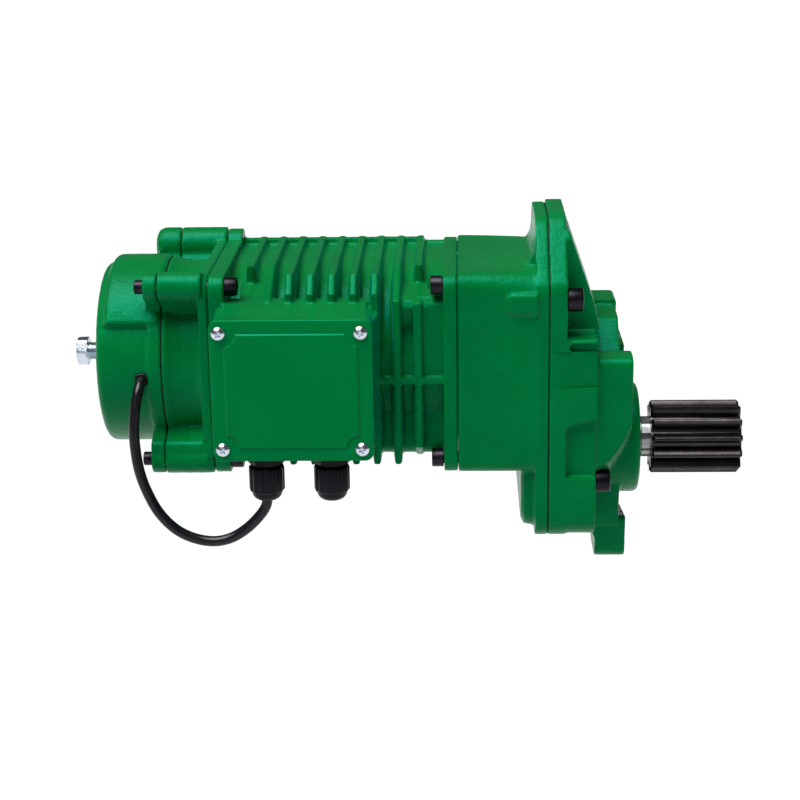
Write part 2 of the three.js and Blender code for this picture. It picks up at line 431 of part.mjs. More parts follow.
// ---- terminal box ----
const lidLine = rounded([[BOX.x0 - 0.6, BOX.z0 - 0.6, 6], [BOX.x1 + 0.6, BOX.z0 - 0.6, 6],
  [BOX.x1 + 0.6, BOX.z1 + 0.6, 6], [BOX.x0 - 0.6, BOX.z1 + 0.6, 6]]);
const panelInset = 8;
const panelLine = (() => {
  const [x0, x1] = [BOX.x0 + panelInset, BOX.x1 - panelInset];
  const [z0, z1] = [BOX.z0 + panelInset, BOX.z1 - panelInset];
  const notch = [[x0, z1, 0], [x0, z0, 1], [x1, z0, 2], [x1, z1, 3]];
  return notch.flatMap(([x, z, k]) => arc(x, z, 8, k * Math.PI / 2, (k - 1) * Math.PI / 2, 4));
})();
const terminalCover = cut(
  all([prism('y', lidLine, BOX.y - 3.6, BOX.y - GAP), prism('y', panelLine, BOX.y - 4.8, BOX.y - 3)]),
  BOX_SCREWS.map(([x, z]) => rod('y', BOX.y - 5, BOX.y, 2.5 + GAP, x, z, 12)));
const panScrew = ([x, z], k) => {
  const seat = BOX.y - 3.6 - GAP;
  const a = 0.4 + 0.5 * k;
  const slot = (t) => prism('y', [[-2.6, -0.5], [2.6, -0.5], [2.6, 0.5], [-2.6, 0.5]]
    .map(([p, q]) => [x + p * Math.cos(t) - q * Math.sin(t), z + p * Math.sin(t) + q * Math.cos(t)]),
  seat - 4, seat - 1.6);
  return cut(turned('y', [[seat - 2.9, 0], [seat - 2.9, 2.6], [seat - 1.6, 4.5], [seat, 4.65],
    [seat, 2.4], [-84, 2.4], [-84, 0]], x, z, 12), [slot(a).add(slot(a + Math.PI / 2))]);
};
const terminalBoard = all([box(-252, -188, -76, -70.5, 46, 82),
  ...[0, 1, 2].flatMap((i) => [0, 1].map((j) => rod('y', -84, -75, 2.5, -239 + 19 * i, 56 + 16 * j, 8)))]);
const gland = (x, bore) => {
  const z = BOX.z0 - GAP;
  const outer = all([
    rod('z', z - 1, z + 9, 8, x, GLAND_Y, 16),
    turned('z', [[z - 6, 0], [z - 6, 12.2], [z, 12.2], [z, 0]], x, GLAND_Y, 6),
    rod('z', z - 9, z - 5, 9, x, GLAND_Y, 16),
    turned('z', [[z - 31, 0], [z - 31, 5.6], [z - 28.5, 8.6], [z - 24, 10.6], [z - 19.5, 11.6], [z - 8, 11.6],
      [z - 8, 0]], x, GLAND_Y, 12)]);
  return outer.subtract(rod('z', bore, z + 10, CABLE_R + GAP, x, GLAND_Y, 12));
};
const glandRight = gland(GLAND_X[1], 4).subtract(rod('z', -14, -10.5, CABLE_R + GAP, GLAND_X[1], GLAND_Y, 12));

// ---- brake cable ----
const cableRoute = [
  [-322.3, -50, 60.5], [-322.3, -57, 60.5], [-322.3, -64, 60.3], [-323, -71, 56.5], [-324.6, -75.6, 48],
  [-326, -79, 34], [-325.6, -81, 20], [-323.4, -83, 5], [-318.8, -84.5, -9], [-311, -85.6, -24],
  [-300, -86, -35.5], [-288, -86, -41.5], [-275.5, -86, -43.4], [-264.5, -86, -41], [-254.5, -86, -34.8],
  [-246, -86, -26.5], [-240.9, -86, -19], [-239.5, -86, -12], [-239.5, -86, 0], [-239.5, -86, 24]];
const cableStops = cableRoute.map((p) => new THREE.Vector3(...p));
const cablePath = new THREE.CatmullRomCurve3(cableStops, false, 'centripetal');
const brakeCable = solid(new THREE.ExtrudeGeometry(outlineShape(circle(0, 0, CABLE_R, 8)),
  { steps: 44, bevelEnabled: false, extrudePath: cablePath }));
const cableGrommet = ring('y', -63.4, -54, CABLE_R + GAP, 4.7, CABLE_EXIT[0], CABLE_EXIT[2], 16);

// ---- assembly ----
const FINISH = {
  green: [0x007a3a, 0.42, 0], black_steel: [0x1c1a1e, 0.45, 0.7], zinc: [0xc9cdd2, 0.3, 1],
  steel: [0x9a9da1, 0.35, 1], dark_oxide: [0x2c2b2d, 0.4, 0.85], copper: [0x9a4f22, 0.5, 0.6],
  laminate: [0x55585c, 0.6, 0.7], aluminium: [0xb9bcc0, 0.4, 0.9], black_plastic: [0x101113, 0.5, 0],
  black_rubber: [0x0c0c0d, 0.45, 0], brown_plastic: [0x3a2416, 0.55, 0], lining: [0x4b4038, 0.9, 0],
};
const part = new THREE.Group();
part.name = 'gearmotor';
const add = (name, body, finish) => {
  const mesh = body.getMesh();
  const geometry = new THREE.BufferGeometry();
  geometry.setAttribute('position', new THREE.BufferAttribute(new Float32Array(mesh.vertProperties), 3));
  geometry.setIndex(new THREE.BufferAttribute(new Uint32Array(mesh.triVerts), 1));
  geometry.computeVertexNormals();
  const [color, roughness, metalness] = FINISH[finish];
  const node = new THREE.Mesh(geometry, new THREE.MeshStandardMaterial({ color, roughness, metalness }));
  node.name = name;
  part.add(node);
};

add('brake_cover', brakeCover, 'green');
add('rear_endshield', rearShield, 'green');
add('motor_housing', motorHousing, 'green');
add('gear_case', gearCase, 'green');
add('gear_cover', gearCover, 'green');
add('terminal_cover', terminalCover, 'green');
add('terminal_board', terminalBoard, 'brown_plastic');
add('stator_core', statorCore, 'laminate');
add('winding_rear', winding(-266, -246.5), 'copper');
add('winding_front', winding(-149.5, -130), 'copper');
add('rotor_core', rotorCore, 'aluminium');
add('rotor_shaft', rotorShaft, 'steel');
add('bearing_rear', bearing(-293, -281.3, 8.4 + GAP, 20, MOTOR_Z), 'steel');
add('bearing_front', bearing(-112.9, -99.5, 9.7 + GAP, 23.5, MOTOR_Z), 'steel');
add('brake_magnet', brakeMagnet, 'black_steel');
add('brake_coil', brakeCoil, 'copper');
add('brake_spring', brakeSpring, 'steel');
add('brake_armature', brakeArmature, 'steel');
add('brake_disc', brakeDisc, 'lining');
add('brake_hub', brakeHub, 'steel');
add('release_bolt', releaseBolt, 'zinc');
add('release_washer', releaseWasher, 'zinc');
const stud = (x0, x1, y, z) => rod('x', x0, x1, 4, y, z, 10);
bolts.forEach(([y, z], k) => {
  add(`brake_screw_${k + 1}`, socketScrew(coverSeat, -1, y, z, 6, 17), 'black_steel');
  const hidden = k === 1;
  const rear = hidden ? stud(rearSeat - 21.5, rearSeat - 0.5, y, z) : socketScrew(rearSeat, 1, y, z, 8, 22);
  const front = hidden
    ? stud(frontSeat + 0.5, frontSeat + 23.5, y, z)
    : socketScrew(frontSeat, -1, y, z, 8, 24);
  add(`rear_screw_${k + 1}`, rear, 'black_steel');
  add(`front_screw_${k + 1}`, front, 'black_steel');
});
CASE_SCREWS.forEach(([y, z, seat, length], k) => {
  add(`case_screw_${k + 1}`, socketScrew(seat, 1, y, z, CASE_SCREW_D, length), 'black_steel');
});
add('intermediate_1_shaft', firstShaft, 'steel');
add('intermediate_1_gear', wheel(0, FIRST_Z, 7), 'steel');
add('bearing_1_case', bearing(-69.9, -62.6, 3.9 + GAP, 11, FIRST_Z), 'steel');
add('bearing_1_cover', bearing(-40.8, -33, 3.9 + GAP, 8, FIRST_Z), 'steel');
add('intermediate_2_shaft', secondShaft, 'steel');
add('intermediate_2_gear', wheel(1, MOTOR_Z, 9), 'steel');
add('bearing_2_cover', bearing(-25, -13, 7.4 + GAP, 16, MOTOR_Z), 'steel');
add('output_gear', wheel(2, 0, 14.4), 'steel');
add('output_shaft', outputShaft, 'steel');
add('bearing_output_case', bearing(-69.9, -57, 12.4 + GAP, 23.5, 0), 'steel');
add('bearing_output_cover', bearing(-21.6, -6, 14.4 + GAP, 26, 0), 'steel');
add('oil_seal', oilSeal, 'black_rubber');
add('output_pinion', outputPinion, 'dark_oxide');
add('pinion_retainer', pinionRetainer, 'dark_oxide');
add('gland_cable', gland(GLAND_X[0], -14), 'black_plastic');
add('gland_spare', glandRight, 'black_plastic');
add('brake_cable', brakeCable, 'black_rubber');
add('cable_grommet', cableGrommet, 'black_rubber');
BOX_SCREWS.forEach((spot, k) => add(`terminal_screw_${k + 1}`, panScrew(spot, k), 'zinc'));

export default part;
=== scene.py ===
"""Looks of a crane travel gearmotor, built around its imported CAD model. Metres; helpers take millimetres."""
import math

import bmesh
import bpy
from mathutils import Matrix, Vector, noise


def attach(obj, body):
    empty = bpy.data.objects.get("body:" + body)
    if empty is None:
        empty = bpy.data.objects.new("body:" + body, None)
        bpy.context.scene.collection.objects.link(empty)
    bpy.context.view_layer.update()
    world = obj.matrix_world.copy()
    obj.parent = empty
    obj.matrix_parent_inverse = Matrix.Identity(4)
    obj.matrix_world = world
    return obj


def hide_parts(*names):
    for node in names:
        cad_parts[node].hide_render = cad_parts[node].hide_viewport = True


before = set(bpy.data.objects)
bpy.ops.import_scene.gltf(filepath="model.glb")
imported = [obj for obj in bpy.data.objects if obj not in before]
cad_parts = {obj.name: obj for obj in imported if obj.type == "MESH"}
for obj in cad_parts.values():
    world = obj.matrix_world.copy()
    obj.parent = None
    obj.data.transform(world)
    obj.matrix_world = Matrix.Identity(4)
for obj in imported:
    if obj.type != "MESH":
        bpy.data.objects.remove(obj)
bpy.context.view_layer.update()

MM = 0.001
scene = bpy.context.scene

# ---- driving dimensions, millimetres ----
MOTOR_Z = 63.75  # motor axis above the output axis
FIRST_Z = 105.75  # first intermediate axis
PITCH = 58.6  # half spacing of the flange bolt square
COVER_END = -353  # brake cover end face
COVER_R = 61.4
HUMP_R = 66.5  # raised upper sector of the brake cover
HUMP_END = -347.5
BIG_LUG_Y, BIG_LUG_Z, BIG_LUG_R, BIG_LUG_END = 60, 124, 13.2, -327  # upper rear lug
COVER_SEAT = -318  # back of the brake cover's flange, where its screws sit
SHIELD_L = -309  # brake cover to end shield
MOTOR_L = -276  # end shield to motor housing
MOTOR_R = -114.7  # motor housing to gear case
CASE_R = -55.4  # gear case to gear cover
BLOCK_X = -24  # front face of the gear cover's lower block
REAR_SEAT, FRONT_SEAT = -265.4, -124.1  # seats of the motor's rear and front screws
CASE_HALF, CASE_LOW = 66.9, -4.6  # gear case body
CASE_TOP, COVER_TOP = 160.8, 162.5
FLANGE_HALF = 66
FLANGE_LOW = -4.8
CORE_R = 59
BORE_R = 52
FIN_HALF = 65.5
FIN_LOW, FIN_HIGH = 2.5, MOTOR_Z + FIN_HALF
PAD_TOP = 124.5  # flat upper rear corner of the motor housing
FIN_PITCH = 13.9
FIN_COUNT = 9
FIN_MID = -196
BOX_X = (-271, -169)
BOX_Z = (18, 110)
BOX_Y = -98.2
GLAND_Y = -86
GLAND_X = (-239.5, -197)
CABLE_R = 3.5
CABLE_EXIT = (-322.3, 60.5)  # (x, z) on the brake cover
GAP = 0.3  # between pieces that touch on the real drive
BOLTS = [(sy * PITCH, MOTOR_Z + sz * PITCH) for sy, sz in ((-1, 1), (1, 1), (1, -1), (-1, -1))]
BOX_SCREWS = [(-265.3, 102.1), (-175.9, 102.1), (-175.9, 25.3), (-265.3, 25.3)]
CASE_SCREW_D = 10
CASE_SCREWS = [  # (y, z, seat, length)
    (-58.6, 112, -43.7, 28), (58.6, 112, -43.7, 28), (-52, -14, BLOCK_X, 37), (52, -14, BLOCK_X, 37),
]
CASE_HOLES = [(y, z) for y, z, _, _ in CASE_SCREWS]
LUG_HOLES = [(-46, 52), (46, 46), (0, -66)]
FLOOR_Z = -800

# ---- camera: the photograph's viewing angle ----
PITCH_DOWN, YAW, ROLL = math.radians(16.95), math.radians(1.949), math.radians(0.865)
camera = bpy.data.objects.new("camera", bpy.data.cameras.new("camera"))
camera.data.lens = 83.5
camera.data.clip_end = 50
camera.matrix_world = (Matrix.Translation(Vector((-113.2, -1225.2, 400.7)) * MM)
                       @ Matrix.Rotation(YAW, 4, "Z")
                       @ Matrix.Rotation(math.pi / 2 - PITCH_DOWN, 4, "X")
                       @ Matrix.Rotation(-ROLL, 4, "Z"))
scene.collection.objects.link(camera)
scene.camera = camera


# ---- mesh helpers ----
def link(name, mesh):
    piece = bpy.data.objects.new(name, mesh)
    scene.collection.objects.link(piece)
    return piece


def to_piece(name, bm):
    bmesh.ops.remove_doubles(bm, verts=bm.verts, dist=1e-7)
    bmesh.ops.recalc_face_normals(bm, faces=bm.faces)
    mesh = bpy.data.meshes.new(name)
    bm.to_mesh(mesh)
    bm.free()
    return link(name, mesh)


PLACE = {
    "x": lambda s, a, b: Vector((s, a, b)) * MM,
    "y": lambda s, a, b: Vector((a, s, b)) * MM,
    "z": lambda s, a, b: Vector((a, b, s)) * MM,
}


def loft(axis, sections, name="part"):
    """Closed body through sections: [(station, outline), ...], each outline with as many points."""
    bm = bmesh.new()
    rings = [[bm.verts.new(PLACE[axis](s, a, b)) for a, b in outline] for s, outline in sections]
    for near, far in zip(rings, rings[1:]):
        for i in range(len(near)):
            j = (i + 1) % len(near)
            bm.faces.new((near[i], near[j], far[j], far[i]))
    bm.faces.new(rings[0])
    bm.faces.new(rings[-1])
    return to_piece(name, bm)


def prism(axis, outline, lo, hi, name="part"):
    return loft(axis, [(lo, outline), (hi, outline)], name)


def turned(axis, profile, a=0.0, b=0.0, n=72, name="part"):
    """Turned body: profile points are (station, radius); a closed profile makes a ring."""
    closed = profile[0] == profile[-1]
    points = profile[:-1] if closed else profile
    bm = bmesh.new()
    rings = []
    for s, r in points:
        if r < 1e-6:
            rings.append([bm.verts.new(PLACE[axis](s, a, b))])
        else:
            angles = [2 * math.pi * k / n for k in range(n)]
            rings.append([bm.verts.new(PLACE[axis](s, a + r * math.cos(t), b + r * math.sin(t)))
                          for t in angles])
    pairs = list(zip(rings, rings[1:] + rings[:1])) if closed else list(zip(rings, rings[1:]))
    for near, far in pairs:
        for i in range(n):
            j = (i + 1) % n
            corners = [near[i % len(near)], near[j % len(near)], far[j % len(far)], far[i % len(far)]]
            corners = list(dict.fromkeys(corners))
            if len(corners) > 2:
                bm.faces.new(corners)
    return to_piece(name, bm)


def rod(axis, lo, hi, r, a=0.0, b=0.0, n=64, edge=0.0, name="part"):
    if edge:
        profile = [(lo, 0), (lo, r - edge), (lo + edge * 0.3, r - edge * 0.3), (lo + edge, r),
                   (hi - edge, r), (hi - edge * 0.3, r - edge * 0.3), (hi, r - edge), (hi, 0)]
    else:
        profile = [(lo, 0), (lo, r), (hi, r), (hi, 0)]
    return turned(axis, profile, a, b, n, name)


def ring(axis, lo, hi, inner, outer, a=0.0, b=0.0, n=64):
    return turned(axis, [(lo, inner), (lo, outer), (hi, outer), (hi, inner), (lo, inner)], a, b, n)


def box(x0, x1, y0, y1, z0, z1):
    return prism("x", [(y0, z0), (y1, z0), (y1, z1), (y0, z1)], x0, x1)


def arc(a, b, r, start, end, n):
    return [(a + r * math.cos(start + (end - start) * i / n), b + r * math.sin(start + (end - start) * i / n))
            for i in range(n + 1)]


def circle(a, b, r, n=48, turn=0.0):
    return arc(a, b, r, turn, turn + 2 * math.pi * (n - 1) / n, n - 1)


def rounded(corners):
    """Outline with round corners; corners are (a, b, radius)."""
    steps = 8
    outline = []
    for i, (pa, pb, r) in enumerate(corners):
        if not r:
            outline.append((pa, pb))
            continue
        here = Vector((pa, pb))
        u = (Vector(corners[i - 1][:2]) - here).normalized()
        v = (Vector(corners[(i + 1) % len(corners)][:2]) - here).normalized()
        half = math.acos(max(-1, min(1, u.dot(v)))) / 2
        centre = here + (u + v).normalized() * (r / math.sin(half))
        start = here + u * (r / math.tan(half)) - centre
        end = here + v * (r / math.tan(half)) - centre
        first = math.atan2(start.y, start.x)
        turn = math.atan2(end.y, end.x) - first
        sweep = math.atan2(math.sin(turn), math.cos(turn))
        outline += arc(centre.x, centre.y, r, first, first + sweep, steps)
    return outline


def rectangle(a0, a1, b0, b1, r):
    return rounded([(a0, b0, r), (a1, b0, r), (a1, b1, r), (a0, b1, r)])


def square(half, r):
    """Square round the motor axis."""
    return rectangle(-half, half, MOTOR_Z - half, MOTOR_Z + half, r)


def plate_line(r):
    """Square flange of the motor, a little deeper below the axis than above it."""
    return rectangle(-FLANGE_HALF, FLANGE_HALF, FLANGE_LOW, MOTOR_Z + FLANGE_HALF, r)


def evaluated(piece):
    """Applies a piece's modifiers to its mesh."""
    graph = bpy.context.evaluated_depsgraph_get()
    mesh = bpy.data.meshes.new_from_object(piece.evaluated_get(graph), depsgraph=graph)
    old = piece.data
    piece.modifiers.clear()
    piece.data = mesh
    bpy.data.meshes.remove(old)
    return piece


def discard(pieces):
    for piece in pieces:
        mesh = piece.data
        bpy.data.objects.remove(piece)
        bpy.data.meshes.remove(mesh)


def boolean(piece, others, how):
    for other in others:
        step = piece.modifiers.new("boolean", "BOOLEAN")
        step.operation = how
        step.solver = "MANIFOLD"
        step.object = other
    evaluated(piece)
    discard(others)
    return piece


def join(pieces):
    return boolean(pieces[0], pieces[1:], "UNION")


def cut(piece, tools):
    return boolean(piece, tools, "DIFFERENCE")


CAST_SHARP = 48  # degrees between faces from which a casting's edge is sharp


def cast(name, pieces, cutters, voxel=1.25, passes=4, rough=0.22):
    """One casting: bodies grown together with soft fillets, a sand-cast skin and machined cuts."""
    whole = join(pieces)
    whole.name = name
    step = whole.modifiers.new("grow", "REMESH")
    step.mode = "VOXEL"
    step.voxel_size = voxel * MM
    step = whole.modifiers.new("fillet", "SMOOTH")
    step.factor = 0.5
    step.iterations = passes
    evaluated(whole)
    bm = bmesh.new()
    bm.from_mesh(whole.data)
    bm.normal_update()
    for v in bm.verts:
        p = v.co / MM
        lump = noise.noise(p * 0.22) + 0.5 * noise.noise(p * 0.6 + Vector((9, 4, 7)))
        v.co += v.normal * (lump * 0.5 - 0.55) * rough * MM
    bm.to_mesh(whole.data)
    bm.free()
    return smooth(cut(whole, cutters), CAST_SHARP)


def smooth(piece, degrees=32):
    for face in piece.data.polygons:
        face.use_smooth = True
    piece.data.set_sharp_from_angle(angle=math.radians(degrees))
    return piece


def bevelled(piece, width, angle=35):
    step = piece.modifiers.new("edge", "BEVEL")
    step.width = width * MM
    step.segments = 3
    step.limit_method = "ANGLE"
    step.angle_limit = math.radians(angle)
    evaluated(piece)
    return smooth(piece)


# ---- materials ----
def new_material(name):
    material = bpy.data.materials.new(name)
    material.use_nodes = True
    tree = material.node_tree
    tree.nodes.clear()
    out = tree.nodes.new("ShaderNodeOutputMaterial")
    shader = tree.nodes.new("ShaderNodeBsdfPrincipled")
    tree.links.new(shader.outputs[0], out.inputs[0])
    coords = tree.nodes.new("ShaderNodeTexCoord")
    return material, tree, shader, coords.outputs["Object"]


def noise_node(tree, coords, scale, detail=4.0, stretch=None, rough=0.55):
    if stretch:
        mapping = tree.nodes.new("ShaderNodeMapping")
        mapping.inputs["Scale"].default_value = stretch
        tree.links.new(coords, mapping.inputs["Vector"])
        coords = mapping.outputs[0]
    node = tree.nodes.new("ShaderNodeTexNoise")
    node.inputs["Scale"].default_value = scale
    node.inputs["Detail"].default_value = detail
    node.inputs["Roughness"].default_value = rough
    tree.links.new(coords, node.inputs["Vector"])
    return node.outputs["Fac"]


def ramp(tree, value, low, high):
    """Grey from one stop to the other; a stop is (place, brightness)."""
    node = tree.nodes.new("ShaderNodeValToRGB")
    for element, (place, v) in zip(node.color_ramp.elements, (low, high)):
        element.position = place
        element.color = (v, v, v, 1)
    tree.links.new(value, node.inputs[0])
    return node.outputs[0]


def mix(tree, factor, a, b, blend="MIX"):
    node = tree.nodes.new("ShaderNodeMix")
    node.data_type = "RGBA"
    node.blend_type = blend
    for socket, value in ((node.inputs["Factor"], factor), (node.inputs["A"], a), (node.inputs["B"], b)):
        if hasattr(value, "is_output"):
            tree.links.new(value, socket)
        elif isinstance(value, tuple):
            socket.default_value = (*value, 1)
        else:
            socket.default_value = value
    return node.outputs["Result"]


def bump(tree, shader, layers):
    """layers: [(height socket, distance in mm, strength), ...]."""
    normal = None
    for height, distance, strength in layers:
        node = tree.nodes.new("ShaderNodeBump")
        node.inputs["Distance"].default_value = distance * MM
        node.inputs["Strength"].default_value = strength
        tree.links.new(height, node.inputs["Height"])
        if normal:
            tree.links.new(normal, node.inputs["Normal"])
        normal = node.outputs[0]
    tree.links.new(normal, shader.inputs["Normal"])


def green_paint(name, deep, light, grain=0.5, pitted=1.0):
    """Enamel brushed and sprayed over a sand casting: runs, dust specks, thin dry patches on the grain."""
    material, tree, shader, coords = new_material(name)
    broad = noise_node(tree, coords, 22, 3)
    fine = noise_node(tree, coords, 480, 5, rough=0.7)
    middle = noise_node(tree, coords, 130, 4)
    colour = mix(tree, ramp(tree, broad, (0.3, 0), (0.7, 1)), deep, light)
    pits = ramp(tree, fine, (0.28, pitted), (0.4, 0))
    colour = mix(tree, pits, colour, tuple(c * 0.45 for c in deep))
    cells = tree.nodes.new("ShaderNodeTexVoronoi")
    cells.inputs["Scale"].default_value = 160
    tree.links.new(coords, cells.inputs["Vector"])
    specks = ramp(tree, cells.outputs["Distance"], (0.035, 1), (0.07, 0))
    chosen = ramp(tree, noise_node(tree, coords, 60, 2), (0.6, 0), (0.68, 0.3))
    colour = mix(tree, mix(tree, 1.0, specks, chosen, "MULTIPLY"), colour, (0.05, 0.33, 0.19))
    tree.links.new(colour, shader.inputs["Base Color"])
    rough = ramp(tree, middle, (0.25, 0.21), (0.75, 0.37))
    tree.links.new(rough, shader.inputs["Roughness"])
    shader.inputs["Specular IOR Level"].default_value = 0.22
    shader.inputs["Specular Tint"].default_value = (0.0, 1.0, 0.85, 1)
    shader.inputs["Sheen Weight"].default_value = 0.08
    shader.inputs["Sheen Roughness"].default_value = 0.45
    shader.inputs["Sheen Tint"].default_value = (0.0, 0.95, 0.75, 1)
    bump(tree, shader, [(middle, 0.5, 0.5 * grain), (fine, 0.45, 1.5 * grain)])
    return material


def metal(name, colour, rough, brushed=None, dark=0.6, specks=0.0):
    """Bare or plated metal: tool marks along `brushed`, stains and small handling marks."""
    material, tree, shader, coords = new_material(name)
    marks = noise_node(tree, coords, 700, 3, brushed)
    stains = noise_node(tree, coords, 90, 5)
    stained = ramp(tree, stains, (0.35, 0), (0.75, 1))
    tint = mix(tree, stained, colour, tuple(c * dark for c in colour))
    if specks:
        spots = ramp(tree, noise_node(tree, coords, 420, 2), (0.62, 0), (0.7, specks))
        tint = mix(tree, spots, tint, (0.3, 0.29, 0.28))
    tree.links.new(tint, shader.inputs["Base Color"])
    shader.inputs["Metallic"].default_value = 1.0
    spread = ramp(tree, marks, (0.2, max(0.05, rough - 0.1)), (0.8, rough + 0.12))
    tree.links.new(spread, shader.inputs["Roughness"])
    bump(tree, shader, [(marks, 0.03, 0.5), (stains, 0.12, 0.12)])
    return material


def moulded(name, colour, rough, grain=350, depth=0.05, coat=0.0, metallic=0.0, level=0.5):
    """Moulded plastic, rubber, varnish or lining: fine grain, uneven sheen, a little dust."""
    material, tree, shader, coords = new_material(name)
    texture = noise_node(tree, coords, grain, 4)
    broad = noise_node(tree, coords, 35, 3)
    tint = mix(tree, ramp(tree, broad, (0.3, 0), (0.8, 1)), colour,
               tuple(min(1, c * 1.5 + 0.003) for c in colour))
    tree.links.new(tint, shader.inputs["Base Color"])
    shader.inputs["Metallic"].default_value = metallic
    shader.inputs["Specular IOR Level"].default_value = level
    shader.inputs["Coat Weight"].default_value = coat
    shader.inputs["Coat Roughness"].default_value = 0.15
    spread = ramp(tree, texture, (0.25, rough - 0.06), (0.75, rough + 0.08))
    tree.links.new(spread, shader.inputs["Roughness"])
    bump(tree, shader, [(texture, depth, 0.5)])
    return material


PAINT = green_paint("green_paint", (0.0002, 0.108, 0.017), (0.0003, 0.138, 0.025))
LID_PAINT = green_paint("lid_paint", (0.0002, 0.127, 0.019), (0.0003, 0.143, 0.024), grain=0.15, pitted=0.15)
SCREW = metal("black_screw", (0.022, 0.020, 0.026), 0.34, brushed=(1, 6, 6), specks=0.08)
ZINC = metal("zinc", (0.62, 0.68, 0.78), 0.2, dark=0.9)
STEEL = metal("machined_steel", (0.36, 0.37, 0.37), 0.34, brushed=(8, 1, 1))
OXIDE = metal("oxide_steel", (0.055, 0.050, 0.053), 0.30, brushed=(0.4, 4, 4), dark=0.55, specks=0.1)
LAMINATE = metal("laminations", (0.24, 0.24, 0.25), 0.42, brushed=(9, 1, 1))
CAST_ALU = metal("cast_aluminium", (0.66, 0.67, 0.69), 0.4)
IRON = moulded("magnet_iron", (0.02, 0.02, 0.021), 0.45)
WIRE = moulded("winding_wire", (0.36, 0.12, 0.035), 0.3, grain=600, depth=0.3, coat=0.4, metallic=0.4)
LINING = moulded("friction_lining", (0.075, 0.06, 0.05), 0.82, grain=500, depth=0.15)
BOARD = moulded("terminal_plastic", (0.06, 0.028, 0.014), 0.4)
NYLON = moulded("gland_plastic", (0.0025, 0.0025, 0.005), 0.34, grain=500, depth=0.03, level=0.11)
SHEATH = moulded("cable_sheath", (0.003, 0.003, 0.005), 0.24, grain=140, depth=0.06, coat=0.05, level=0.25)
RUBBER = moulded("seal_rubber", (0.006, 0.006, 0.007), 0.5, level=0.25)


def dress(piece, body, slot, material, *nodes):
    piece.data.materials.clear()
    piece.data.materials.append(material)
    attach(piece, body)
    if nodes:
        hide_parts(*nodes)
    return piece


# ---- brake cable, from the cover to its gland ----
CABLE_ROUTE = [
    (-322.3, -50, 60.5), (-322.3, -57, 60.5), (-322.3, -64, 60.3), (-323, -71, 56.5), (-324.6, -75.6, 48),
    (-326, -79, 34), (-325.6, -81, 20), (-323.4, -83, 5), (-318.8, -84.5, -9), (-311, -85.6, -24),
    (-300, -86, -35.5), (-288, -86, -41.5), (-275.5, -86, -43.4), (-264.5, -86, -41), (-254.5, -86, -34.8),
    (-246, -86, -26.5), (-240.9, -86, -19), (-239.5, -86, -12), (-239.5, -86, 0), (-239.5, -86, 24),
]
ROUTE_STEPS = 8  # points drawn between two points of the route


def spline_points(route):
    """Centripetal Catmull-Rom curve through the route, as in the CAD model."""
    points = [Vector(p) for p in route]
    points = [points[0] * 2 - points[1]] + points + [points[-1] * 2 - points[-2]]
    line = []
    for p0, p1, p2, p3 in zip(points, points[1:], points[2:], points[3:]):
        t0 = 0.0
        t1 = t0 + (p1 - p0).length ** 0.5
        t2 = t1 + (p2 - p1).length ** 0.5
        t3 = t2 + (p3 - p2).length ** 0.5
        for k in range(ROUTE_STEPS):
            t = t1 + (t2 - t1) * k / ROUTE_STEPS
            a1 = p0 * ((t1 - t) / (t1 - t0)) + p1 * ((t - t0) / (t1 - t0))
            a2 = p1 * ((t2 - t) / (t2 - t1)) + p2 * ((t - t1) / (t2 - t1))
            a3 = p2 * ((t3 - t) / (t3 - t2)) + p3 * ((t - t2) / (t3 - t2))
            b1 = a1 * ((t2 - t) / (t2 - t0)) + a2 * ((t - t0) / (t2 - t0))
            b2 = a2 * ((t3 - t) / (t3 - t1)) + a3 * ((t - t1) / (t3 - t1))
            line.append(b1 * ((t2 - t) / (t2 - t1)) + b2 * ((t - t1) / (t2 - t1)))
    return line + [points[-2]]


def make_cable():
    line = [p * MM for p in spline_points(CABLE_ROUTE)]
    curve = bpy.data.curves.new("brake_cable_sheath", "CURVE")
    curve.dimensions = "3D"
    curve.bevel_depth = CABLE_R * MM
    curve.bevel_resolution = 7
    curve.use_fill_caps = True
    run = curve.splines.new("POLY")
    run.points.add(len(line) - 1)
    for point, place in zip(run.points, line):
        point.co = (*place, 1)
    run.use_smooth = True
    cable = bpy.data.objects.new("brake_cable_sheath", curve)
    scene.collection.objects.link(cable)
    curve.materials.append(SHEATH)
    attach(cable, "housing")
    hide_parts("brake_cable")
    length = sum((b - a).length for a, b in zip(line, line[1:]))


make_cable()


# ---- castings ----
def cover_profile(grow, left, right):
    shoulder = arc(left + 5, COVER_R - 5 + grow, 5, math.pi, math.pi / 2, 8)
    return [(left, 0)] + shoulder + [(right, COVER_R + grow), (right, 0)]


def lugs(radius, lo, hi):
    return [rod("x", lo, hi, radius, y, z, 40) for y, z in BOLTS]


def ties(lo, hi):
    """Webs that join the corner lugs to the round casting."""
    near, far = PITCH - 5, PITCH + 7.4
    webs = []
    for y, z in BOLTS:
        sy, sz = math.copysign(1, y), math.copysign(1, z - MOTOR_Z)
        line = [(0, MOTOR_Z), (sy * far, MOTOR_Z + sz * near), (sy * near, MOTOR_Z + sz * far)]
        webs.append(prism("x", line, lo, hi))
    return webs


def screw_holes(lo, hi, d, places):
    return [rod("x", lo, hi, d / 2 + GAP, y, z, 32) for y, z in places]


def big_web(x0, x1):
    return prism("x", [(20, 95), (46.8, 112), (46.8, 124), (73.2, 124), (73.2, 112), (55, 90)], x0, x1)


def low_corner(x0, x1):
    line = rounded([(-66.5, -4.3, 7), (-66.5, 18, 5), (-44, 26, 0), (-30, 10, 0), (-44, -4.3, 0)])
    return prism("x", line, x0, x1)


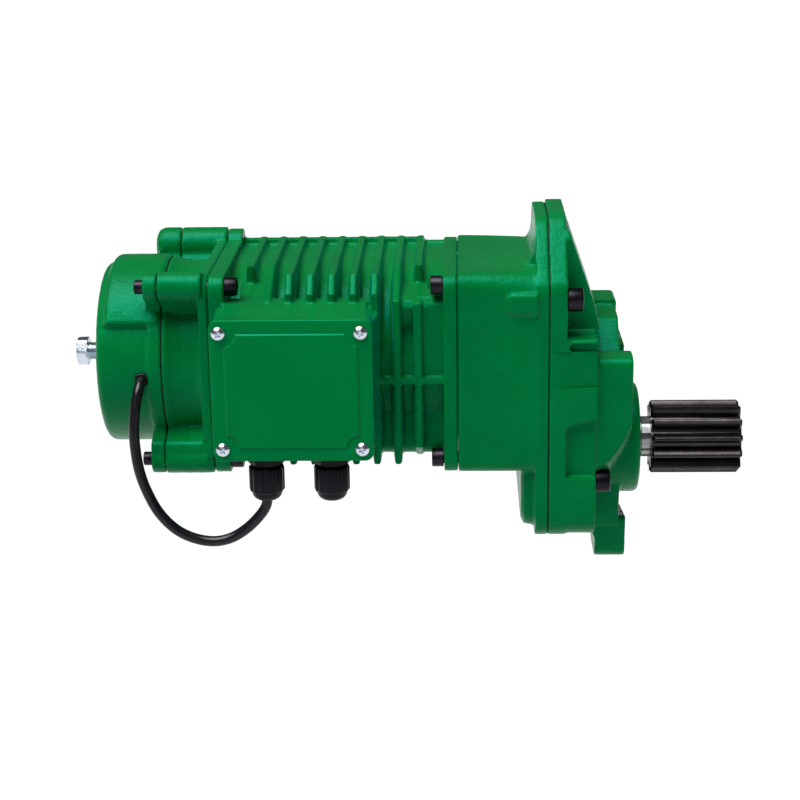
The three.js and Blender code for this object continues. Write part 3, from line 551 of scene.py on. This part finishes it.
def make_brake_cover():
    hump_side = [(-90, MOTOR_Z + 53.2), (-61.8, MOTOR_Z + 36.5), (-30, MOTOR_Z + 17), (30, MOTOR_Z + 17),
                 (61.8, MOTOR_Z + 36.5), (90, MOTOR_Z + 53.2), (90, 170), (-90, 170)]
    hump = boolean(turned("x", cover_profile(HUMP_R - COVER_R, HUMP_END, SHIELD_L - 2), 0, MOTOR_Z, 160),
                   [prism("x", hump_side, COVER_END, SHIELD_L)], "INTERSECT")
    big_lug = turned("x", [(BIG_LUG_END, 0), (BIG_LUG_END, 8), (BIG_LUG_END + 2, 11.5),
                           (BIG_LUG_END + 6, BIG_LUG_R), (SHIELD_L, BIG_LUG_R), (SHIELD_L, 0)],
                     BIG_LUG_Y, BIG_LUG_Z, 64)
    bodies = [turned("x", cover_profile(0, COVER_END, SHIELD_L), 0, MOTOR_Z, 160), hump, big_lug,
              big_web(BIG_LUG_END + 3, SHIELD_L), low_corner(COVER_SEAT, SHIELD_L),
              rod("x", COVER_SEAT, SHIELD_L, 65.3, 0, MOTOR_Z, 160)]
    bodies += lugs(9.5, COVER_SEAT, SHIELD_L) + ties(COVER_SEAT, SHIELD_L)
    inside = turned("x", [(COVER_END + 5, 0), (COVER_END + 5, 48), (COVER_END + 12, COVER_R - 5),
                          (SHIELD_L + 2, COVER_R - 5), (SHIELD_L + 2, 0)], 0, MOTOR_Z, 96)
    cutters = [inside, rod("x", COVER_END - 2, COVER_END + 7, 6.3, 0, MOTOR_Z, 48),
               rod("x", BIG_LUG_END - 2, COVER_SEAT, 5.8, *BOLTS[1], 32),
               rod("y", -80, -50, 5, *CABLE_EXIT, 40)] + screw_holes(-320, -306, 6, BOLTS)
    cover = cast("brake_cover_casting", bodies, cutters, voxel=1.0, passes=6, rough=0.2)
    dress(cover, "housing", "green_paint", PAINT, "brake_cover")


def make_rear_endshield():
    left, right = SHIELD_L + GAP, MOTOR_L - GAP
    barrel = [(left, 0), (left, 65.3), (left + 2, 65.2), (left + 7, 63.2), (left + 13, 62), (right - 11, 62),
              (right - 7, 63), (right - 5, 65), (right, 65), (right, 0)]
    bodies = [turned("x", barrel, 0, MOTOR_Z, 160),
              rod("x", left, right, BIG_LUG_R, BIG_LUG_Y, BIG_LUG_Z, 64), big_web(left, right),
              low_corner(left, right), prism("x", plate_line(13), -283, right),
              ring("x", -320.5, left + 1, 22, 47, 0, MOTOR_Z, 96),
              ring("x", right - 1, right + 3.5, 46, BORE_R - GAP, 0, MOTOR_Z, 96)]
    bodies += lugs(9.8, left, -280) + ties(left, -280)
    cutters = [rod("x", -293, right + 5, 46, 0, MOTOR_Z, 96), rod("x", left - 2, -292, 11, 0, MOTOR_Z, 48),
               rod("x", left - 14, -302, 22, 0, MOTOR_Z, 64)]
    cutters += screw_holes(left - 2, -299, 6, BOLTS) + screw_holes(-288, right + 2, 8, BOLTS)
    shield = cast("rear_endshield_casting", bodies, cutters, voxel=1.0, passes=6, rough=0.22)
    hub = ring("x", -294.5, -281, 20.3, 26, 0, MOTOR_Z, 64)
    boolean(shield, [hub], "UNION")
    dress(smooth(shield, CAST_SHARP), "housing", "green_paint", PAINT, "rear_endshield")


FIN_FRONT = [  # front edges (y, z) of the end fins, of those next to them and of the rest
    [(-45, FIN_LOW), (-FIN_HALF, 14), (-FIN_HALF, 112), (-30, 117.5), (-30, FIN_HIGH)],
    [(-FIN_HALF, FIN_LOW), (-FIN_HALF, 113.6), (-23.3, FIN_HIGH)],
    [(-FIN_HALF, FIN_LOW), (-FIN_HALF, FIN_HIGH - 11), (-FIN_HALF + 11, FIN_HIGH)],
]


def fin(index):
    x = FIN_MID + (index - (FIN_COUNT - 1) / 2) * FIN_PITCH
    front = FIN_FRONT[min(index, FIN_COUNT - 1 - index, 2)]
    line = front + [(FIN_HALF, FIN_HIGH), (FIN_HALF, FIN_LOW)]
    middle = Vector((0, MOTOR_Z))
    at = lambda scale: [tuple(middle + (Vector(p) - middle) * scale) for p in line]
    return loft("x", [(x - 3.7, at(0.86)), (x - 2.5, at(0.985)), (x - 1.9, line), (x + 1.9, line),
                      (x + 2.5, at(0.985)), (x + 3.7, at(0.86))])


def rear_corner(x0, x1, top):
    line = [(-14, 100), (45, 92), (FIN_HALF, 92), (FIN_HALF, top), (59.5, top), (58.5, PAD_TOP),
            (20, PAD_TOP), (2, 124), (-8, 122.2), (-14, 118)]
    return prism("x", line, x0, x1)


def make_motor_housing():
    right = MOTOR_R - GAP
    rim = rectangle(*BOX_X, *BOX_Z, 5)
    roof = [(BOX_Y + 2, BOX_Z[1] - 1), (-55, 113.8), (-55, 100), (BOX_Y + 2, 100)]
    side = BOX_X[1]
    sole = rounded([(-52, 4.3, 8), (52, 4.3, 8), (52, 60, 0), (-52, 60, 0)])
    cheek = [(side - 8, BOX_Y + 2), (side - 0.5, BOX_Y + 2), (side + 4.5, -55), (side - 8, -55)]
    bodies = [rod("x", MOTOR_L, right, CORE_R, 0, MOTOR_Z, 160),
              prism("x", plate_line(10), MOTOR_L, REAR_SEAT),
              rod("x", MOTOR_L, REAR_SEAT, BIG_LUG_R - 1.2, BIG_LUG_Y, BIG_LUG_Z, 64),
              prism("x", plate_line(10), FRONT_SEAT, right),
              rear_corner(-266, -140, FIN_HIGH - 0.6), rear_corner(-141, -120, FIN_HIGH - 3),
              prism("x", sole, REAR_SEAT, FRONT_SEAT),
              prism("x", [(-40, 60), (-60, 60), (-60.5, 110), (-55, 114.5), (-40, 116)], -141, FRONT_SEAT),
              box(-168, FRONT_SEAT, -FIN_HALF, FIN_HALF, 57.5, 61.2),
              prism("x", roof, BOX_X[0] + 4, BOX_X[1] - 4), prism("z", cheek, BOX_Z[0] + 4, BOX_Z[1] - 4),
              prism("y", rim, BOX_Y, -50)]
    for x0, x1 in ((-257, -240), (-151, -134)):
        pad = [(-20, 100), (-20, 118.3), (-59, 112.5), (-61.5, 108), (-57, 97), (-50, 88)]
        bodies.append(prism("x", pad, x0, x1))
    bodies += [fin(index) for index in range(FIN_COUNT)]
    inside = box(BOX_X[0] + 5, BOX_X[1] - 5, BOX_Y - 2, -68, BOX_Z[0] + 5, BOX_Z[1] - 5)
    inside = cut(inside, [rod("y", -104, -60, 6.5, x, z, 32) for x, z in BOX_SCREWS])
    cutters = [rod("x", MOTOR_L - 2, right + 2, BORE_R, 0, MOTOR_Z, 128), inside,
               rod("y", -70, -45, 12, -220, MOTOR_Z, 48)]
    cutters += [rod("z", BOX_Z[0] - 3, BOX_Z[0] + 7, 8.3, x, GLAND_Y, 48) for x in GLAND_X]
    cutters += [rod("y", BOX_Y - 3, -82, 2.8, x, z, 24) for x, z in BOX_SCREWS]
    shown = [BOLTS[0]] + BOLTS[2:]
    cutters += screw_holes(MOTOR_L - 2, -262, 8, shown) + screw_holes(-127, right + 2, 8, shown)
    cutters += screw_holes(MOTOR_L - 2, -265.6, 8, BOLTS[1:2]) + screw_holes(-123.9, right + 2, 8, BOLTS[1:2])
    housing = cast("motor_housing_casting", bodies, cutters, voxel=0.85, passes=3, rough=0.2)
    dress(housing, "housing", "green_paint", PAINT, "motor_housing")


def flange_line(top, inset=0.0):
    return rounded([(-66 + inset, -52 + inset, 16), (66 - inset, -52 + inset, 16), (66 - inset, 122, 12),
                    (30, top - inset, 20), (-30, top - inset, 20), (-66 + inset, 122, 12)])


def make_gear_case():
    fillet = [(-78, 127), (-75, 130.7), (-70.5, 131.6), (-67, 134.2), (-64.8, 138.5), (-64, 145),
              (-60, 145), (-60, 127)]
    half, low, top = CASE_HALF, CASE_LOW, MOTOR_Z + CASE_HALF
    # the top corners grow rounder towards the flange
    body = [(x, rounded([(-half, low, 9), (half, low, 9), (half, top, r), (-half, top, r)]))
            for x, r in ((MOTOR_R, 9), (-95, 11), (-75, 15), (-60, 19))]
    skirt = [(x, rounded([(-w, z, r), (w, z, r), (w, 10, 0), (-w, 10, 0)]))
             for x, w, z, r in ((-73.3, 55, -43, 14), (-71, 58, -47, 16), (-63, 59, -48, 16))]
    bodies = [loft("x", body), prism("x", flange_line(CASE_TOP), -64, CASE_R),
              prism("y", fillet, -40, 40), loft("x", skirt),
              ring("x", MOTOR_R - 3.5, MOTOR_R + 2, 46, BORE_R - GAP, 0, MOTOR_Z, 96)]
    pad_z = 111
    for s in (-1, 1):
        inner, outer = s * 60, s * 69.6
        outline = rounded([(inner, 103.5, 0), (outer, 103.5, 3), (outer, 118.5, 3), (inner, 118.5, 0)])
        bodies.append(loft("x", [(-85, [(y * 0.96, pad_z + (z - pad_z) * 0.5) for y, z in outline]),
                                 (-82.5, [(y * 0.985, pad_z + (z - pad_z) * 0.85) for y, z in outline]),
                                 (-79, outline), (-63, outline)]))
    hub = rod("x", -107, -97, 28, 0, MOTOR_Z, 64)
    inside = cut(prism("x", square(60, 8), -106, -76), [hub])
    roof = [(-56, 29, 8), (56, 29, 8), (56, 108, 10), (26, 142, 14), (-26, 142, 14), (-56, 108, 10)]
    cutters = [inside, box(-76.5, -61.5, -58, 58, 29, 85), prism("x", rounded(roof), -61.8, CASE_R + 2),
               rod("x", MOTOR_R - 6, -99.2, 23.8, 0, MOTOR_Z, 64), rod("x", -100, -90, 16, 0, MOTOR_Z, 48),
               rod("x", -70.2, -60, 11.3, 0, FIRST_Z, 48), rod("x", -70.2, CASE_R + 2, 23.8, 0, 0, 64)]
    cutters += screw_holes(MOTOR_R - 2, -99, 8, BOLTS)
    cutters += screw_holes(-73, CASE_R + 2, CASE_SCREW_D, CASE_HOLES[:2])
    cutters += screw_holes(-62, CASE_R + 2, CASE_SCREW_D, CASE_HOLES[2:])
    case = cast("gear_case_casting", bodies, cutters, voxel=1.0, passes=6, rough=0.18)
    dress(case, "housing", "green_paint", PAINT, "gear_case")


BLOCK_TOP = 90.5
BACK = BLOCK_X - 1  # where the lugs and bosses grow out of the block
COVER_INSIDE = rounded([(-55, 29, 8), (55, 29, 8), (55, 106, 10), (26, 140, 14), (-26, 140, 14),
                        (-55, 106, 10)])


def make_gear_cover():
    left = CASE_R + GAP
    outline = rounded([(-66, -51, 16), (66, -51, 16), (66, 87, 3), (-66, 87, 3)])
    pocket = rounded([(-46, -8, 3), (-46, 29.5, 10), (-38, 29.5, 6), (-12, 36, 0), (-12, -8, 0)])
    block = cut(prism("x", outline, -45, BLOCK_X), [prism("y", pocket, -67, -60.5)])
    wedge = [(-46, 153), (-41.5, 153), (-24.5, 104), (-21, 88), (-46, 88)]
    lug_at = lambda low: rounded([(-58.6, low, 0), (-58.6, 72, 6), (-36, 72, 6), (-14, 56, 0), (-14, 24, 0),
                                  (-34, low - 16, 0), (-50, low - 9, 0)])
    front_lug = loft("x", [(BACK, lug_at(-4)), (-14, lug_at(2)), (-6, lug_at(14)), (0, lug_at(27))])
    mid_web = [(-26, 40, 0), (-26, 62, 8), (-2, 86.5, 8), (32, 86.5, 0), (32, 40, 0)]
    back_lug = [(58.6, 30, 0), (58.6, 62, 0), (14, 62, 0), (14, 24, 0), (36, 8, 0)]
    back_top = [(BACK, 55), (0, 55), (-4.5, 73), (-4.5, BLOCK_TOP - 2), (-6.5, BLOCK_TOP), (BACK, BLOCK_TOP)]
    foot_fillet = [(-46, -48), (-44, -53), (-34, -54.5), (-28, -57), (-23.5, -62), (-20.5, -68), (-20.5, -48)]
    slope = boolean(prism("y", wedge, -42, 42), [prism("x", flange_line(COVER_TOP), -47, BLOCK_X + 5)],
                    "INTERSECT")
    boss = [(BACK, 0), (BACK, 38), (4.8, 38)] + arc(4.8, 34.5, 3.5, math.pi / 2, 0, 6) + [(8.3, 0)]
    slot = rounded([(-42.5, 78.5, 3), (-42.5, 84.5, 3), (-19, 84.5, 0), (-19, 78.5, 0)])
    bodies = [prism("x", flange_line(COVER_TOP), left, -43.7), block, slope, front_lug,
              prism("x", rounded(back_lug), BACK, 0),
              prism("y", back_top, 30, 58.6), turned("x", boss, 0, 0, 128),
              prism("x", rounded(mid_web), BACK, -6),
              prism("x", [(-24, -56), (24, -56), (30, -20), (-30, -20)], BACK, -5),
              prism("x", rounded([(-21, -82, 8), (21, -82, 8), (24, -58, 3), (-24, -50, 3)]), BACK + 4, 0),
              prism("y", foot_fillet, -22, 22)]
    cutters = [prism("x", COVER_INSIDE, left - 2, -48.5), rod("x", left - 2, -50.5, 37, 0, FIRST_Z, 96),
               rod("x", left - 2, -40.6, 33, 0, MOTOR_Z, 96), rod("x", -45, -25.3, 23.5, 0, MOTOR_Z, 64),
               rod("x", left - 2, -40.6, 17, 0, FIRST_Z, 64), rod("x", left - 2, -26.2, 47.6, 0, 0, 96),
               rod("x", -41, -32.7, 8.3, 0, FIRST_Z, 48), rod("x", -27, -12.7, 16.3, 0, MOTOR_Z, 48),
               rod("x", -27, -5.7, 26.3, 0, 0, 64), rod("x", -8, 14, 20.3, 0, 0, 64),
               prism("z", [(-53, -67), (-53, -65.8), (-26, -62.5), (-23, -62.5), (-23, -67)], 54, 79),
               prism("y", slot, -67, -61.5)]
    for y, z, seat, _ in CASE_SCREWS:
        cutters += screw_holes(-56, seat + 2, CASE_SCREW_D, [(y, z)])
        cutters.append(rod("x", seat, seat + 26, 9, y, z, 48))
    cutters += [rod("x", BLOCK_X - 1, 2, 5.5, y, z, 40) for y, z in LUG_HOLES]
    cover = cast("gear_cover_casting", bodies, cutters, voxel=1.0, passes=6, rough=0.18)
    dress(cover, "housing", "green_paint", PAINT, "gear_cover")


make_brake_cover()
make_rear_endshield()
make_motor_housing()
make_gear_case()
make_gear_cover()


# ---- thin sealing sheets in the joints between the castings ----
def make_gasket(name, outline, x0, holes, slot="seal_rubber", material=RUBBER):
    sheet = prism("x", outline, x0 + 0.03, x0 + GAP - 0.03)
    cut(sheet, holes)
    sheet.name = name
    dress(sheet, "housing", slot, material)


def sheet_holes(x0, bore, d, places):
    return [rod("x", x0 - 1, x0 + 2, bore, 0, MOTOR_Z, 64)] + screw_holes(x0 - 1, x0 + 2, d + 1, places)


make_gasket("brake_gasket", circle(0, MOTOR_Z, 64.6, 96), SHIELD_L, sheet_holes(SHIELD_L, 48, 6, BOLTS))
make_gasket("endshield_gasket", square(FLANGE_HALF - 0.3, 13), MOTOR_L - GAP,
            sheet_holes(MOTOR_L - GAP, 53, 8, BOLTS), "green_paint", PAINT)
make_gasket("motor_gasket", square(FLANGE_HALF - 0.1, 9.5), MOTOR_R - GAP,
            sheet_holes(MOTOR_R - GAP, 53, 8, BOLTS), "green_paint", PAINT)
below, above = CASE_R - 1, CASE_R + 2
make_gasket("gearcase_gasket", flange_line(CASE_TOP, 0.6), CASE_R,
            [prism("x", COVER_INSIDE, below, above), rod("x", below, above, 47.6, 0, 0, 64)]
            + screw_holes(below, above, CASE_SCREW_D + 1, CASE_HOLES))


# ---- terminal box lid ----
def make_terminal_cover():
    over, inset = 0.6, 8
    lid = prism("y", rectangle(BOX_X[0] - over, BOX_X[1] + over, BOX_Z[0] - over, BOX_Z[1] + over, 6),
                BOX_Y - 3.6, BOX_Y - GAP)
    notches = [(BOX_X[0] + inset, BOX_Z[1] - inset, 0), (BOX_X[0] + inset, BOX_Z[0] + inset, 1),
               (BOX_X[1] - inset, BOX_Z[0] + inset, 2), (BOX_X[1] - inset, BOX_Z[1] - inset, 3)]
    line = [p for x, z, k in notches for p in arc(x, z, inset, k * math.pi / 2, (k - 1) * math.pi / 2, 12)]
    middle = Vector((sum(BOX_X) / 2, sum(BOX_Z) / 2))
    crest = [tuple(middle + (Vector(p) - middle) * 0.972) for p in line]
    panel = bevelled(loft("y", [(BOX_Y - 4.8, crest), (BOX_Y - 3.5, line), (BOX_Y - 1, line)]), 0.35, 20)
    bevelled(lid, 0.7, 50)
    boolean(lid, [panel], "UNION")
    cut(lid, [rod("y", BOX_Y - 6, BOX_Y + 1, 2.8, x, z, 32) for x, z in BOX_SCREWS])
    lid.name = "terminal_cover_lid"
    dress(smooth(lid, 24), "housing", "green_paint", LID_PAINT, "terminal_cover")


make_terminal_cover()


# ---- fasteners ----
def socket_screw(name, seat, way, y, z, d, length):
    """Socket head cap screw; way is the side its head stands on."""
    head, high = 0.77 * d, 0.98 * d
    at = lambda s: seat + GAP * way + s * way
    profile = [(-length, 0), (-length, d / 2 - 0.6), (0.6 - length, d / 2), (0, d / 2), (0, head - 0.3),
               (0.3, head), (high - 0.8, head), (high - 0.25, head - 0.25), (high, head - 0.8),
               (high, 0.52 * d + 0.3), (high - 0.4, 0.52 * d), (high - 0.4, 0)]
    body = turned("x", [(at(s), r) for s, r in profile], y, z, 48, name)
    ends = sorted((at(high * 0.45), at(high + 1)))
    cut(body, [prism("x", circle(y, z, 0.46 * d, 6, math.pi / 7), *ends)])
    return smooth(body, 30)


def screw_row(base, places, d, length):
    for k, (y, z, seat, way) in enumerate(places, 1):
        if k == 2 and d == 8:  # studs under the rear rib, which hides their heads
            x0, x1 = (seat - 21.5, seat - 0.5) if way > 0 else (seat + 0.5, seat + 23.5)
            screw = bevelled(rod("x", x0, x1, 4, y, z, 48, 0.5, f"{base}_{k}_body"), 0.2)
        else:
            screw = socket_screw(f"{base}_{k}_body", seat, way, y, z, d, length)
        dress(screw, "housing", "black_screw", SCREW, f"{base}_{k}")


screw_row("brake_screw", [(y, z, COVER_SEAT, -1) for y, z in BOLTS], 6, 17)
screw_row("rear_screw", [(y, z, REAR_SEAT, 1) for y, z in BOLTS], 8, 22)
screw_row("front_screw", [(y, z, FRONT_SEAT, -1) for y, z in BOLTS], 8, 24)
for k, (y, z, seat, length) in enumerate(CASE_SCREWS, 1):
    screw = socket_screw(f"case_screw_{k}_body", seat, 1, y, z, CASE_SCREW_D, length)
    dress(screw, "housing", "black_screw", SCREW, f"case_screw_{k}")


def make_pan_screw(k, x, z):
    seat = BOX_Y - 3.6 - GAP
    head, shank, tip = 4.65, 2.4, -84
    dome = [(seat - 2.9 + 2.4 * (r / head) ** 3, r) for r in (0, 1, 2, 3, 3.8, 4.3, 4.55)]
    under = [(seat - 0.3, head), (seat, 4.5), (seat, shank), (tip, shank), (tip, 0)]
    body = turned("y", dome + under, x, z, 48)
    tools = []
    for turn in (0.4 + 0.5 * k, 0.4 + 0.5 * k + math.pi / 2):
        cosine, sine = math.cos(turn), math.sin(turn)
        slot = lambda w, h: [(x + p * cosine - q * sine, z + p * sine + q * cosine)
                             for p, q in ((-w, -h), (w, -h), (w, h), (-w, h))]
        tools.append(loft("y", [(seat - 4, slot(2.9, 0.72)), (seat - 1.2, slot(1.4, 0.3))]))
    cut(body, tools)
    body.name = f"terminal_screw_{k}_body"
    dress(smooth(body, 34), "housing", "zinc", ZINC, f"terminal_screw_{k}")


for k, (x, z) in enumerate(BOX_SCREWS, 1):
    make_pan_screw(k, x, z)


def make_release_bolt():
    head = turned("x", [(-375.8, 0), (-375.8, 8.7), (-375.2, 9.6), (-368.9, 9.9), (-368.4, 9.2), (-368.4, 0)],
                  0, MOTOR_Z, 96)
    boolean(head, [prism("x", circle(0, MOTOR_Z, 10.4, 6), -377, -367)], "INTERSECT")
    thread = []
    turns, start, depth = 14, -366.2, 0.55
    for i in range(turns):
        thread += [(start + i, 6), (start + i + 0.5, 6 - depth)]
    profile = [(-369, 0), (-369, 5.9), (-366.5, 5.9)] + thread
    profile += [(-352, 5.9), (-330.8, 5.9), (-329.8, 5), (-329.8, 0)]
    shank = turned("x", profile, 0, MOTOR_Z, 64)
    bolt = boolean(head, [shank], "UNION")
    bolt.name = "release_bolt_body"
    dress(smooth(bolt, 30), "release", "zinc", ZINC, "release_bolt")
    profile = [(-5.3, 6.3), (-5.3, 8.4), (-4.4, 9.3), (-1, 9.5), (-GAP, 9.3), (-GAP, 6.3), (-5.3, 6.3)]
    washer = turned("x", [(COVER_END + s, r) for s, r in profile], 0, MOTOR_Z, 64, "release_washer_body")
    dress(smooth(washer), "housing", "zinc", ZINC, "release_washer")


make_release_bolt()


# ---- cable glands ----
def make_gland(name, node, x, open_end):
    top = BOX_Z[0] - GAP
    profile = [(-6, 0), (-6, 11), (-5.3, 12.2), (-0.6, 12.2), (0, 11.4), (0, 0)]
    hexagon = boolean(turned("z", [(top + s, r) for s, r in profile], x, GLAND_Y, 96),
                      [prism("z", circle(x, GLAND_Y, 12.2, 6), top - 7, top + 1)], "INTERSECT")
    flutes = 14
    count = flutes * 6
    angles = [2 * math.pi * i / count for i in range(count)]
    line = lambda radii: [(x + r * math.cos(t), GLAND_Y + r * math.sin(t)) for r, t in zip(radii, angles)]
    plain = lambda r: line([r] * count)
    fluted = lambda scale: line([(11.3 + 0.35 * math.cos(flutes * t)) * scale for t in angles])
    nut = loft("z", [(top - 31, plain(5.6)), (top - 30.6, plain(6.8)), (top - 29.6, plain(8.3)),
                     (top - 28.1, plain(9.4)), (top - 26.4, plain(10)), (top - 25.2, plain(10.2)),
                     (top - 24.8, fluted(0.95)), (top - 24.2, fluted(1)), (top - 9.2, fluted(1)),
                     (top - 8.2, fluted(0.95))])
    thread = []
    for i in range(4):
        thread += [(top - 9 + i, 9), (top - 8.6 + i, 8.4)]
    profile = [(top - 9.5, 0), (top - 9.5, 8.8)] + thread + [(top - 5, 8.8), (top - 5, 0)]
    neck = turned("z", profile, x, GLAND_Y, 64)
    gland = join([hexagon, nut, neck, rod("z", top - 1, top + 9, 8, x, GLAND_Y, 64)])
    if open_end:
        cut(gland, [rod("z", -16, top + 10, CABLE_R + GAP, x, GLAND_Y, 40)])
    else:
        cut(gland, [rod("z", -16, -10.5, CABLE_R + GAP, x, GLAND_Y, 40),
                    rod("z", 4, top + 10, CABLE_R + GAP, x, GLAND_Y, 40)])
    gland.name = name
    dress(smooth(gland, 28), "housing", "gland_plastic", NYLON, node)


make_gland("gland_cable_body", "gland_cable", GLAND_X[0], True)
make_gland("gland_spare_body", "gland_spare", GLAND_X[1], False)

bore = CABLE_R + GAP
grommet = turned("y", [(-63.4, bore), (-63.4, 4.3), (-62.9, 4.7), (-54, 4.7), (-54, bore), (-63.4, bore)],
                 *CABLE_EXIT, 40, "cable_grommet_body")
dress(smooth(grommet), "housing", "seal_rubber", RUBBER, "cable_grommet")


# ---- output shaft, pinion and seal ----
MODULE, TEETH, SHIFT, PRESSURE = 3.5, 12, 0.17, math.radians(20)
PINION_X = (17, 78.3)


def involute(angle):
    return math.tan(angle) - angle


def tooth_outline(shrink=0.0):
    """Involute outline of the output pinion, with rounded roots."""
    steps, turn = 7, 0.29
    r = MODULE * TEETH / 2
    base = r * math.cos(PRESSURE)
    tip = r + MODULE * (1 + SHIFT) - shrink
    root = r - MODULE * (1.25 - SHIFT)
    half = ((math.pi / 2 + 2 * SHIFT * math.tan(PRESSURE)) / TEETH + involute(PRESSURE)
            - (0.1 + shrink * 0.6) / r)
    flank = [(root, half + 0.07), (root + 0.25, half + 0.035), (root + 0.9, half + 0.008)]
    for i in range(steps + 1):
        radius = max(base, root + 1.4) + (tip - max(base, root + 1.4)) * i / steps
        flank.append((radius, half - involute(math.acos(base / radius))))
    flank[-1] = (tip - 0.25, flank[-1][1])
    flank.append((tip, flank[-1][1] - 0.012))
    points = []
    for k in range(TEETH):
        middle = turn + 2 * math.pi * k / TEETH
        side = [(radius, middle - h) for radius, h in flank]
        side += [(radius, middle + h) for radius, h in flank[::-1]]
        points += [(radius * math.cos(t), radius * math.sin(t)) for radius, t in side]
    return points


def spline_line(tip, root, grow):
    points, count = [], 10
    for k in range(count):
        t = 2 * math.pi * k / count
        for r, a in ((root, -0.17), (tip, -0.15), (tip, 0.15), (root, 0.17)):
            points.append((r * math.cos(t + a * (1 + grow)), r * math.sin(t + a * (1 + grow))))
    return points


def make_output():
    x0, x1 = PINION_X
    pinion = loft("x", [(x0, tooth_outline(1.5)), (x0 + 1.5, tooth_outline()), (x1 - 1.5, tooth_outline()),
                        (x1, tooth_outline(1.5))])
    cut(pinion, [prism("x", spline_line(14.3, 12.7, 0.12), x0 - 1, 72), rod("x", 71.5, x1 + 1, 17, 0, 0, 64)])
    pinion.name = "output_pinion_teeth"
    dress(smooth(pinion, 26), "output", "oxide_steel", OXIDE, "output_pinion")
    shaft = join([turned("x", [(-68.6, 0), (-68.6, 11.8), (-68, 12.4), (-56, 12.4), (-56, 17), (-39.8, 17),
                               (-39.8, 14.4), (10.4, 14.4), (11, 13.8), (11, 0)], 0, 0, 72),
                  prism("x", spline_line(14, 12.4, 0), 10, 71)])
    cut(shaft, [rod("x", 50, 73, 3.3, 0, 0, 32)])
    shaft.name = "output_shaft_body"
    dress(smooth(shaft, 26), "output", "machined_steel", STEEL, "output_shaft")
    plate = join([rod("x", 71.8, 75, 16.4, 0, 0, 64, 0.5), rod("x", 52, 73, 3, 0, 0, 32),
                  boolean(rod("x", 74, 77.4, 6.2, 0, 0, 48, 0.5), [prism("x", circle(0, 0, 6.3, 6), 73, 79)],
                          "INTERSECT")])
    plate.name = "pinion_retainer_body"
    dress(smooth(plate, 28), "output", "oxide_steel", OXIDE, "pinion_retainer")
    profile = [(-1.2, 14.7), (-1.2, 20), (6.2, 20), (6.5, 19.6), (6.5, 17.4), (5.6, 16.9), (4.6, 15.4),
               (3, 14.7), (-1.2, 14.7)]
    seal = turned("x", profile, 0, 0, 96, "oil_seal_lip")
    dress(smooth(seal), "housing", "seal_rubber", RUBBER, "oil_seal")


make_output()

# ---- CAD pieces that keep their shape ----
INNER = {
    "terminal_board": BOARD, "stator_core": LAMINATE, "winding_rear": WIRE, "winding_front": WIRE,
    "rotor_core": CAST_ALU, "brake_magnet": IRON, "brake_coil": WIRE, "brake_disc": LINING,
}
for name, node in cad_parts.items():
    if node.hide_render:
        continue
    node.data.materials.clear()
    node.data.materials.append(INNER.get(name, STEEL))


# ---- floor and light ----
def make_stage():
    bm = bmesh.new()
    bmesh.ops.create_grid(bm, x_segments=1, y_segments=1, size=20)
    mesh = bpy.data.meshes.new("floor")
    bm.to_mesh(mesh)
    bm.free()
    floor = link("floor", mesh)
    floor.location.z = FLOOR_Z * MM
    material, tree, shader, coords = new_material("floor_white")
    tint = mix(tree, noise_node(tree, coords, 3, 2), (0.57, 0.57, 0.57), (0.59, 0.59, 0.59))
    tree.links.new(tint, shader.inputs["Base Color"])
    shader.inputs["Roughness"].default_value = 0.9
    shader.inputs["Specular IOR Level"].default_value = 0.1
    mesh.materials.append(material)


def area_light(name, place, target, size, power):
    light = bpy.data.lights.new(name, "AREA")
    light.shape = "RECTANGLE"
    light.size, light.size_y = size
    light.energy = power
    lamp = bpy.data.objects.new(name, light)
    lamp.location = place
    lamp.rotation_euler = (Vector(target) - Vector(place)).to_track_quat("-Z", "Y").to_euler()
    scene.collection.objects.link(lamp)


make_stage()
sun = bpy.data.lights.new("studio_sky", "SUN")
sun.energy = 6.0
sun.angle = math.radians(50)
sky = bpy.data.objects.new("studio_sky", sun)
sky.rotation_euler = Vector((-0.3, -0.25, 1)).to_track_quat("Z", "Y").to_euler()
scene.collection.objects.link(sky)
area_light("front_softbox", (-0.7, -2.2, 1.0), (-0.15, 0, 0.05), (1.2, 0.8), 2)
world = bpy.data.worlds.new("studio")
scene.world = world
world.use_nodes = True
world.node_tree.nodes["Background"].inputs["Color"].default_value = (1, 1, 1, 1)
world.node_tree.nodes["Background"].inputs["Strength"].default_value = 0.08
scene.view_settings.view_transform = "Standard"
